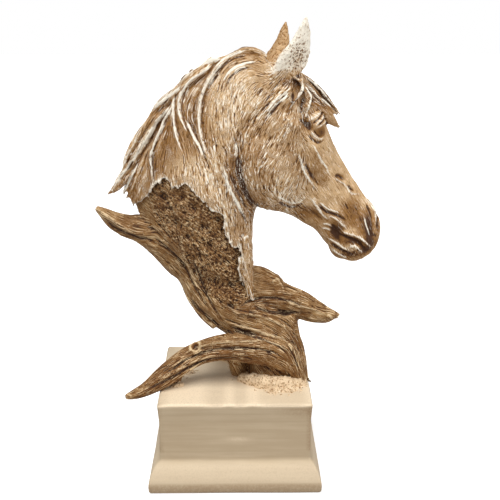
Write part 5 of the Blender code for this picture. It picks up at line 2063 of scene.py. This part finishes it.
@dataclass
class Plinth:
    """The square plinth: a block with a faint lip over a swelling foot."""

    foot_overhang: float = 0.0085
    foot_rise: float = 0.0187
    foot_widest: float = 0.005
    foot_fullness: float = 1.5
    lip: float = 0.001
    lip_drop: float = 0.014
    edge_round: float = 0.0012
    cell: float = 0.0028
    unevenness: float = 0.00022
    seed: int = 5
    low: Vector = field(default_factory=lambda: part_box(PLINTH_NODE)[0])
    high: Vector = field(default_factory=lambda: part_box(PLINTH_NODE)[1])

    @property
    def half(self) -> float:
        """Half the width of the block above the foot."""
        return self.high.x - self.foot_overhang

    def make(self) -> bpy.types.Object:
        """Models the plinth.

        Returns:
            The finished object with its paint marks.
        """
        obj = self.block()
        self.shape_foot(obj)
        self.shape_lip(obj)
        sharp = {"limit_method": "ANGLE", "angle_limit": math.radians(40)}
        apply_modifier(obj, "BEVEL", width=self.edge_round, segments=3, **sharp)
        self.divide(obj)
        self.weather(obj)
        return obj

    def block(self) -> bpy.types.Object:
        """The block between the foot and the lip."""
        bottom = self.foot_widest + self.foot_rise
        top = self.high.z - self.lip_drop
        bpy.ops.object.select_all(action="DESELECT")
        bpy.ops.mesh.primitive_cube_add(size=1, location=(0, 0, (bottom + top) / 2))
        obj = bpy.context.active_object
        obj.name = obj.data.name = "plinth_cast"
        obj.scale = (2 * self.half, 2 * self.half, top - bottom)
        bpy.ops.object.transform_apply(location=True, rotation=True, scale=True)
        return obj

    def pull(self, obj: bpy.types.Object, facing: int, rows: Sequence[Point]) -> None:
        """Pulls a face of the block out step by step.

        Args:
            obj: the plinth so far.
            facing: 1 for the top face, -1 for the bottom one.
            rows: how far each step stands out past the block, and its height.
        """
        half = self.half
        height = (self.high.z - self.lip_drop) if facing > 0 else (self.foot_widest + self.foot_rise)
        pick_only(obj)
        bpy.ops.object.mode_set(mode="EDIT")
        bpy.ops.mesh.select_mode(type="FACE")
        bpy.ops.mesh.select_all(action="DESELECT")
        bm = bmesh.from_edit_mesh(obj.data)
        for face in bm.faces:
            if face.normal.z * facing > 0.9:
                face.select_set(True)
        bmesh.update_edit_mesh(obj.data)
        for out, z in rows:
            bpy.ops.mesh.extrude_region_move(TRANSFORM_OT_translate={"value": (0, 0, z - height)})
            share = (self.half + out) / half
            bpy.ops.transform.resize(value=(share, share, 1), center_override=(0, 0, z))
            half, height = self.half + out, z
        bpy.ops.object.mode_set(mode="OBJECT")

    def shape_foot(self, obj: bpy.types.Object) -> None:
        """The swelling foot, from the block down to the underside.

        Args:
            obj: the plinth so far.
        """
        steps = 9
        rows = []
        for i in range(steps - 1, -1, -1):
            rise = i / steps
            out = self.foot_overhang * (1 - rise**self.foot_fullness) ** (1 / self.foot_fullness)
            rows.append((out, self.foot_widest + self.foot_rise * rise))
        rows.append((self.foot_overhang - 0.0003, 0.0018))
        rows.append((self.foot_overhang - 0.0014, self.low.z))
        self.pull(obj, -1, rows)

    def shape_lip(self, obj: bpy.types.Object) -> None:
        """The faint lip under the top's edge."""
        top = self.high.z
        self.pull(obj, 1, ((self.lip * 0.8, top - 0.0035), (self.lip, top - 0.0016), (0.0, top)))

    def divide(self, obj: bpy.types.Object) -> None:
        """Cuts the faces into small cells, so that they can be made uneven.

        Args:
            obj: the plinth so far.
        """
        pick_only(obj)
        bpy.ops.object.mode_set(mode="EDIT")
        reach = self.high.x - self.edge_round
        for axis in range(3):
            start = -reach if axis < 2 else self.foot_widest + self.foot_rise
            end = reach if axis < 2 else self.high.z - self.lip_drop
            count = max(int((end - start) / self.cell), 2)
            for mark in np.linspace(start, end, count + 1)[1:-1]:
                place = [0.0, 0.0, 0.0]
                normal = [0.0, 0.0, 0.0]
                place[axis], normal[axis] = float(mark), 1.0
                bpy.ops.mesh.select_all(action="SELECT")
                bpy.ops.mesh.bisect(plane_co=place, plane_no=normal)
        bpy.ops.object.mode_set(mode="OBJECT")

    def weather(self, obj: bpy.types.Object) -> None:
        """Makes the faces a little uneven and marks where the paint is rubbed or smeared, where painted
        light and a painted highlight brighten the top, the foot's slope and the top edge, and where painted
        shade darkens a band low on the foot.

        Args:
            obj: the plinth, cut into cells.
        """
        chance = np.random.default_rng(self.seed)
        mesh = obj.data
        points = mesh_rows(mesh.vertices, "co")
        normals = mesh_rows(mesh.vertex_normals, "vector")
        count = len(points)
        wave = np.zeros(count)
        for _ in range(24):
            way = unit_rows(chance.normal(size=(1, 3)))[0] / chance.uniform(0.006, 0.03)
            wave += np.sin(points @ way + chance.uniform(0, 6.28))
        heights = wave / math.sqrt(12) * self.unevenness * 0.5
        inside = (points[:, 2] > self.low.z + 1e-4) & (points[:, 2] < self.high.z - 1e-4)
        points += normals * (heights * inside)[:, None]
        limit = self.high.x
        points[:, :2] = np.clip(points[:, :2], -limit, limit)
        mesh.vertices.foreach_set("co", points.astype(np.float32).ravel())
        mesh.update()
        x, y, z = points.T
        # Painted light: the top face, which the light mark below lays paler with the smear colour; the same
        # mark turns the top's brush streaks.
        top = ramp(normals[:, 2], 0.6, 0.9) * (z > self.high.z - 0.002)
        # Painted highlight: a wavy pale line just under the top's edge, laid on with the smear colour
        # through the light mark.
        waver = 0.0006 * np.sin(x * 220 + np.sin(x * 90) * 2)
        painted_edge_highlight = np.exp(-(((z - self.high.z + 0.0012 + waver) / 0.0009) ** 2))
        smear = spot(x, z, (0.002, 0.040), (0.009, 0.0016)) * (y < 0)
        # Painted light: the foot's swelling slope, laid paler with the smear colour.
        painted_slope_light = ramp(z, self.foot_widest, self.foot_widest + 0.006)
        painted_slope_light *= ramp(self.foot_widest + self.foot_rise - z, 0, 0.004)
        side = self.half
        corner = spot(np.abs(x), np.abs(y), (side, side), (0.0022, 0.0022)) * (z > 0.03) * 0.5
        upper = np.exp(-(((z - self.high.z + 0.005) / 0.003) ** 2))
        upper *= ramp(x, 0.01, side) * ramp(-y, 0, side) * 0.55
        # Painted shade: a band along the foot's lowest part, darkened with the rub colour.
        painted_shade_band = 0.42 * ramp(self.foot_widest + 0.0045 - z, 0, 0.002)
        # The rub mark holds real rubs at the corners and along the front's upper right, and the painted
        # shade band.
        rubbed = np.clip((corner + upper) * ramp(wave, -4, 2) + painted_shade_band, 0, 1) * (1 - painted_edge_highlight)
        mark_points(mesh, "top", top)
        # The light mark lays the smear colour: a real smear on the front, painted light on the top and the
        # foot's slope, and the painted highlight on the top edge.
        mark_points(mesh, "light", np.clip(0.75 * painted_edge_highlight + 0.6 * smear + 0.45 * painted_slope_light + 0.6 * top, 0, 1))
        mark_points(mesh, "rub_and_shade", rubbed)
        pick_only(obj)
        bpy.ops.object.shade_smooth_by_angle(angle=math.radians(32))


@dataclass
class Grit:
    """Plaster crumbs heaped around the driftwood's feet."""

    grid: Grid
    voxel: float = 0.6
    budget: int = 60000
    seed: int = 31
    heaps: Sequence[Point] = (
        (8, -13, 6, 6),
        (14, -18, 7, 8),
        (22, -23, 8, 9),
        (30, -25, 8, 8.5),
        (38, -24, 8, 8),
        (46, -20, 7, 6),
        (50, -22, 5, 2.5),
        (40, -31, 7, 1.4),
        (29, -33, 6, 1.2),
        (54, -14, 4, 2.4),
        (52, -4, 5, 2.6),
        (48, 10, 5, 2.4),
        (-44, -22, 5, 2.2),
        (-50, -14, 5, 1.8),
        (-46, -5, 5, 1.8),
        (-36, 1, 4, 1.6),
        (-4, 24, 5, 2.2),
        (0, 10, 5, 2.2),
        (8, 2, 5, 2.6),
        (10, 24, 5, 2.0),
        (30, 26, 6, 2.4),
        (-18, 36, 5, 2.0),
    )

    def make(self) -> bpy.types.Object:
        """Models the grit.

        Returns:
            The finished object, in metres, with its paint marks.
        """
        chance = np.random.default_rng(self.seed)
        clay = Clay(self.grid)
        for x, y, spread, tall in self.heaps:
            clay_mound(clay, (x, y, 0.0), (spread * 1.1, spread * 0.9, tall))
            for _ in range(int(spread * 3)):
                far = chance.normal(0, 0.8, 2) * spread
                size = chance.uniform(0.6, 1.2)
                height = 0.85 * tall * math.sqrt(max(1 - float(far @ far) / spread**2, 0.0))
                radii = (size, size * chance.uniform(0.6, 1.2), size * 0.8)
                clay_mound(clay, (x + far[0], y + far[1], height), radii)
        obj = clay.fuse("grit", self.voxel, 7)
        skin = Skin(obj, self.grid)
        heights = np.zeros(len(skin.points))
        for index in chance.choice(len(skin.points), size=3600):
            radius = chance.uniform(0.45, 0.9)
            deep = chance.choice((-0.55, 0.5, 0.4)) * radius
            for _, near, distance in skin.tree.find_range(skin.points[index], radius * 2):
                heights[near] += deep * math.exp(-((distance / radius) ** 2))
        skin.push(np.clip(heights, -1.2, 1.0))
        skin.points[:, 2] = np.maximum(skin.points[:, 2], -0.2)
        skin.points[:, :2] = np.clip(skin.points[:, :2], -55.5, 55.5)
        skin.write()
        skin.read()
        fine, middle = skin.bulge(1), skin.bulge(5)
        skin.marks = {
            "pale": np.full(len(skin.points), 0.62),
            "crest": 0.7 * ramp(fine * 2 + middle, 0.1, 0.9),
            "hollow": 0.8 * ramp(-(fine * 2 + middle), 0.3, 1.2),
            "fur": np.zeros(len(skin.points)),
            "speckle": np.full(len(skin.points), 0.75),
        }
        return set_in_place(thin_skin(skin, self.budget))


def clay_mound(clay: Clay, centre: Point, radii: Point) -> None:
    """A small rough lump."""
    shape = Matrix.Translation(centre) @ Matrix.Diagonal((*radii, 1))
    bmesh.ops.create_icosphere(clay.bm, subdivisions=2, radius=1, matrix=shape)


# The studio


@dataclass(frozen=True)
class Studio:
    """The camera, floor and soft light of the photograph."""

    stand: Point = (0.0038, -0.680, 0.369)
    pitch: float = math.radians(16.3)
    yaw: float = math.radians(-0.67)
    lens: float = 67.248
    sensor: float = 36.0
    key_from: Point = (-0.18, -0.42, 1.0)
    key_power: float = 2.9
    softness: float = math.radians(50)
    fill_from: Point = (0.9, -0.4, 0.28)
    fill_power: float = 1.0
    room_light: float = 0.33
    floor_shows: Point = (0.97, 0.97, 0.97, 1)
    floor_bounces: Point = (0.5, 0.49, 0.48, 1)
    floor_lift: float = 0.4

    def set_up(self) -> None:
        """Makes the camera, the floor and the lights."""
        scene = bpy.context.scene
        scene.view_settings.view_transform = "Standard"
        scene.view_settings.look = "None"
        camera = bpy.data.cameras.new("camera")
        camera.lens = self.lens
        camera.sensor_width = self.sensor
        stand = bpy.data.objects.new("camera", camera)
        scene.collection.objects.link(stand)
        stand.location = self.stand
        stand.rotation_euler = (math.pi / 2 - self.pitch, 0, self.yaw)
        scene.camera = stand
        self.floor()
        self.soft_light("key", self.key_from, self.key_power)
        self.soft_light("fill", self.fill_from, self.fill_power)
        self.surroundings()

    def soft_light(self, name: str, source: Point, power: float) -> None:
        """One broad soft light from a direction.

        Args:
            name: the light's name.
            source: the direction that it comes from.
            power: its strength.
        """
        data = bpy.data.lights.new(name, "SUN")
        data.energy = power
        data.angle = self.softness
        lamp = bpy.data.objects.new(name, data)
        bpy.context.scene.collection.objects.link(lamp)
        lamp.rotation_euler = Vector(source).to_track_quat("Z", "Y").to_euler()

    def surroundings(self) -> None:
        """A white room that shows as plain white and lights the object more gently."""
        world = bpy.data.worlds.new("studio")
        bpy.context.scene.world = world
        world.use_nodes = True
        sheet = Sheet(world.node_tree)
        seen = sheet.node("ShaderNodeLightPath").outputs["Is Camera Ray"]
        strength = sheet.between(seen, 0.0, 1.0, self.room_light, 1.0)
        ground = world.node_tree.nodes["Background"]
        ground.inputs["Color"].default_value = (1, 1, 1, 1)
        sheet.feed(ground.inputs["Strength"], strength)

    def floor(self) -> None:
        """The plain pale floor."""
        bpy.ops.object.select_all(action="DESELECT")
        bpy.ops.mesh.primitive_plane_add(size=8)
        floor = bpy.context.active_object
        floor.name = "floor"
        material, sheet, shader = new_finish("floor")
        seen = sheet.node("ShaderNodeLightPath").outputs["Is Camera Ray"]
        sheet.feed(shader.inputs["Base Color"], sheet.blend(seen, self.floor_bounces, self.floor_shows))
        shader.inputs["Emission Color"].default_value = (1, 1, 1, 1)
        sheet.feed(shader.inputs["Emission Strength"], sheet.math("MULTIPLY", seen, self.floor_lift))
        shader.inputs["Roughness"].default_value = 0.9
        floor.data.materials.append(material)


def main() -> None:
    """Builds the pieces in order and reports each of them."""
    logging.basicConfig(level=logging.INFO, format="%(message)s")
    Studio().set_up()
    grid = Grid.from_frame()
    coarse = 1.0
    horse = Horse(grid)
    horse.voxel *= coarse
    horse_cast = horse.make()
    HORSE_PAINT.dress(horse_cast)
    register(horse_cast, CASTING_NODE)
    driftwood = Driftwood(grid)
    driftwood.voxel *= coarse
    driftwood_cast = driftwood.make()
    WOOD_PAINT.dress(driftwood_cast)
    register(driftwood_cast, CASTING_NODE)
    plinth = Plinth().make()
    StonePaint().dress(plinth)
    register(plinth, PLINTH_NODE)
    grit = Grit(grid).make()
    GRIT_PAINT.dress(grit)
    register(grit, "")


if __name__ == "__main__":
    main()
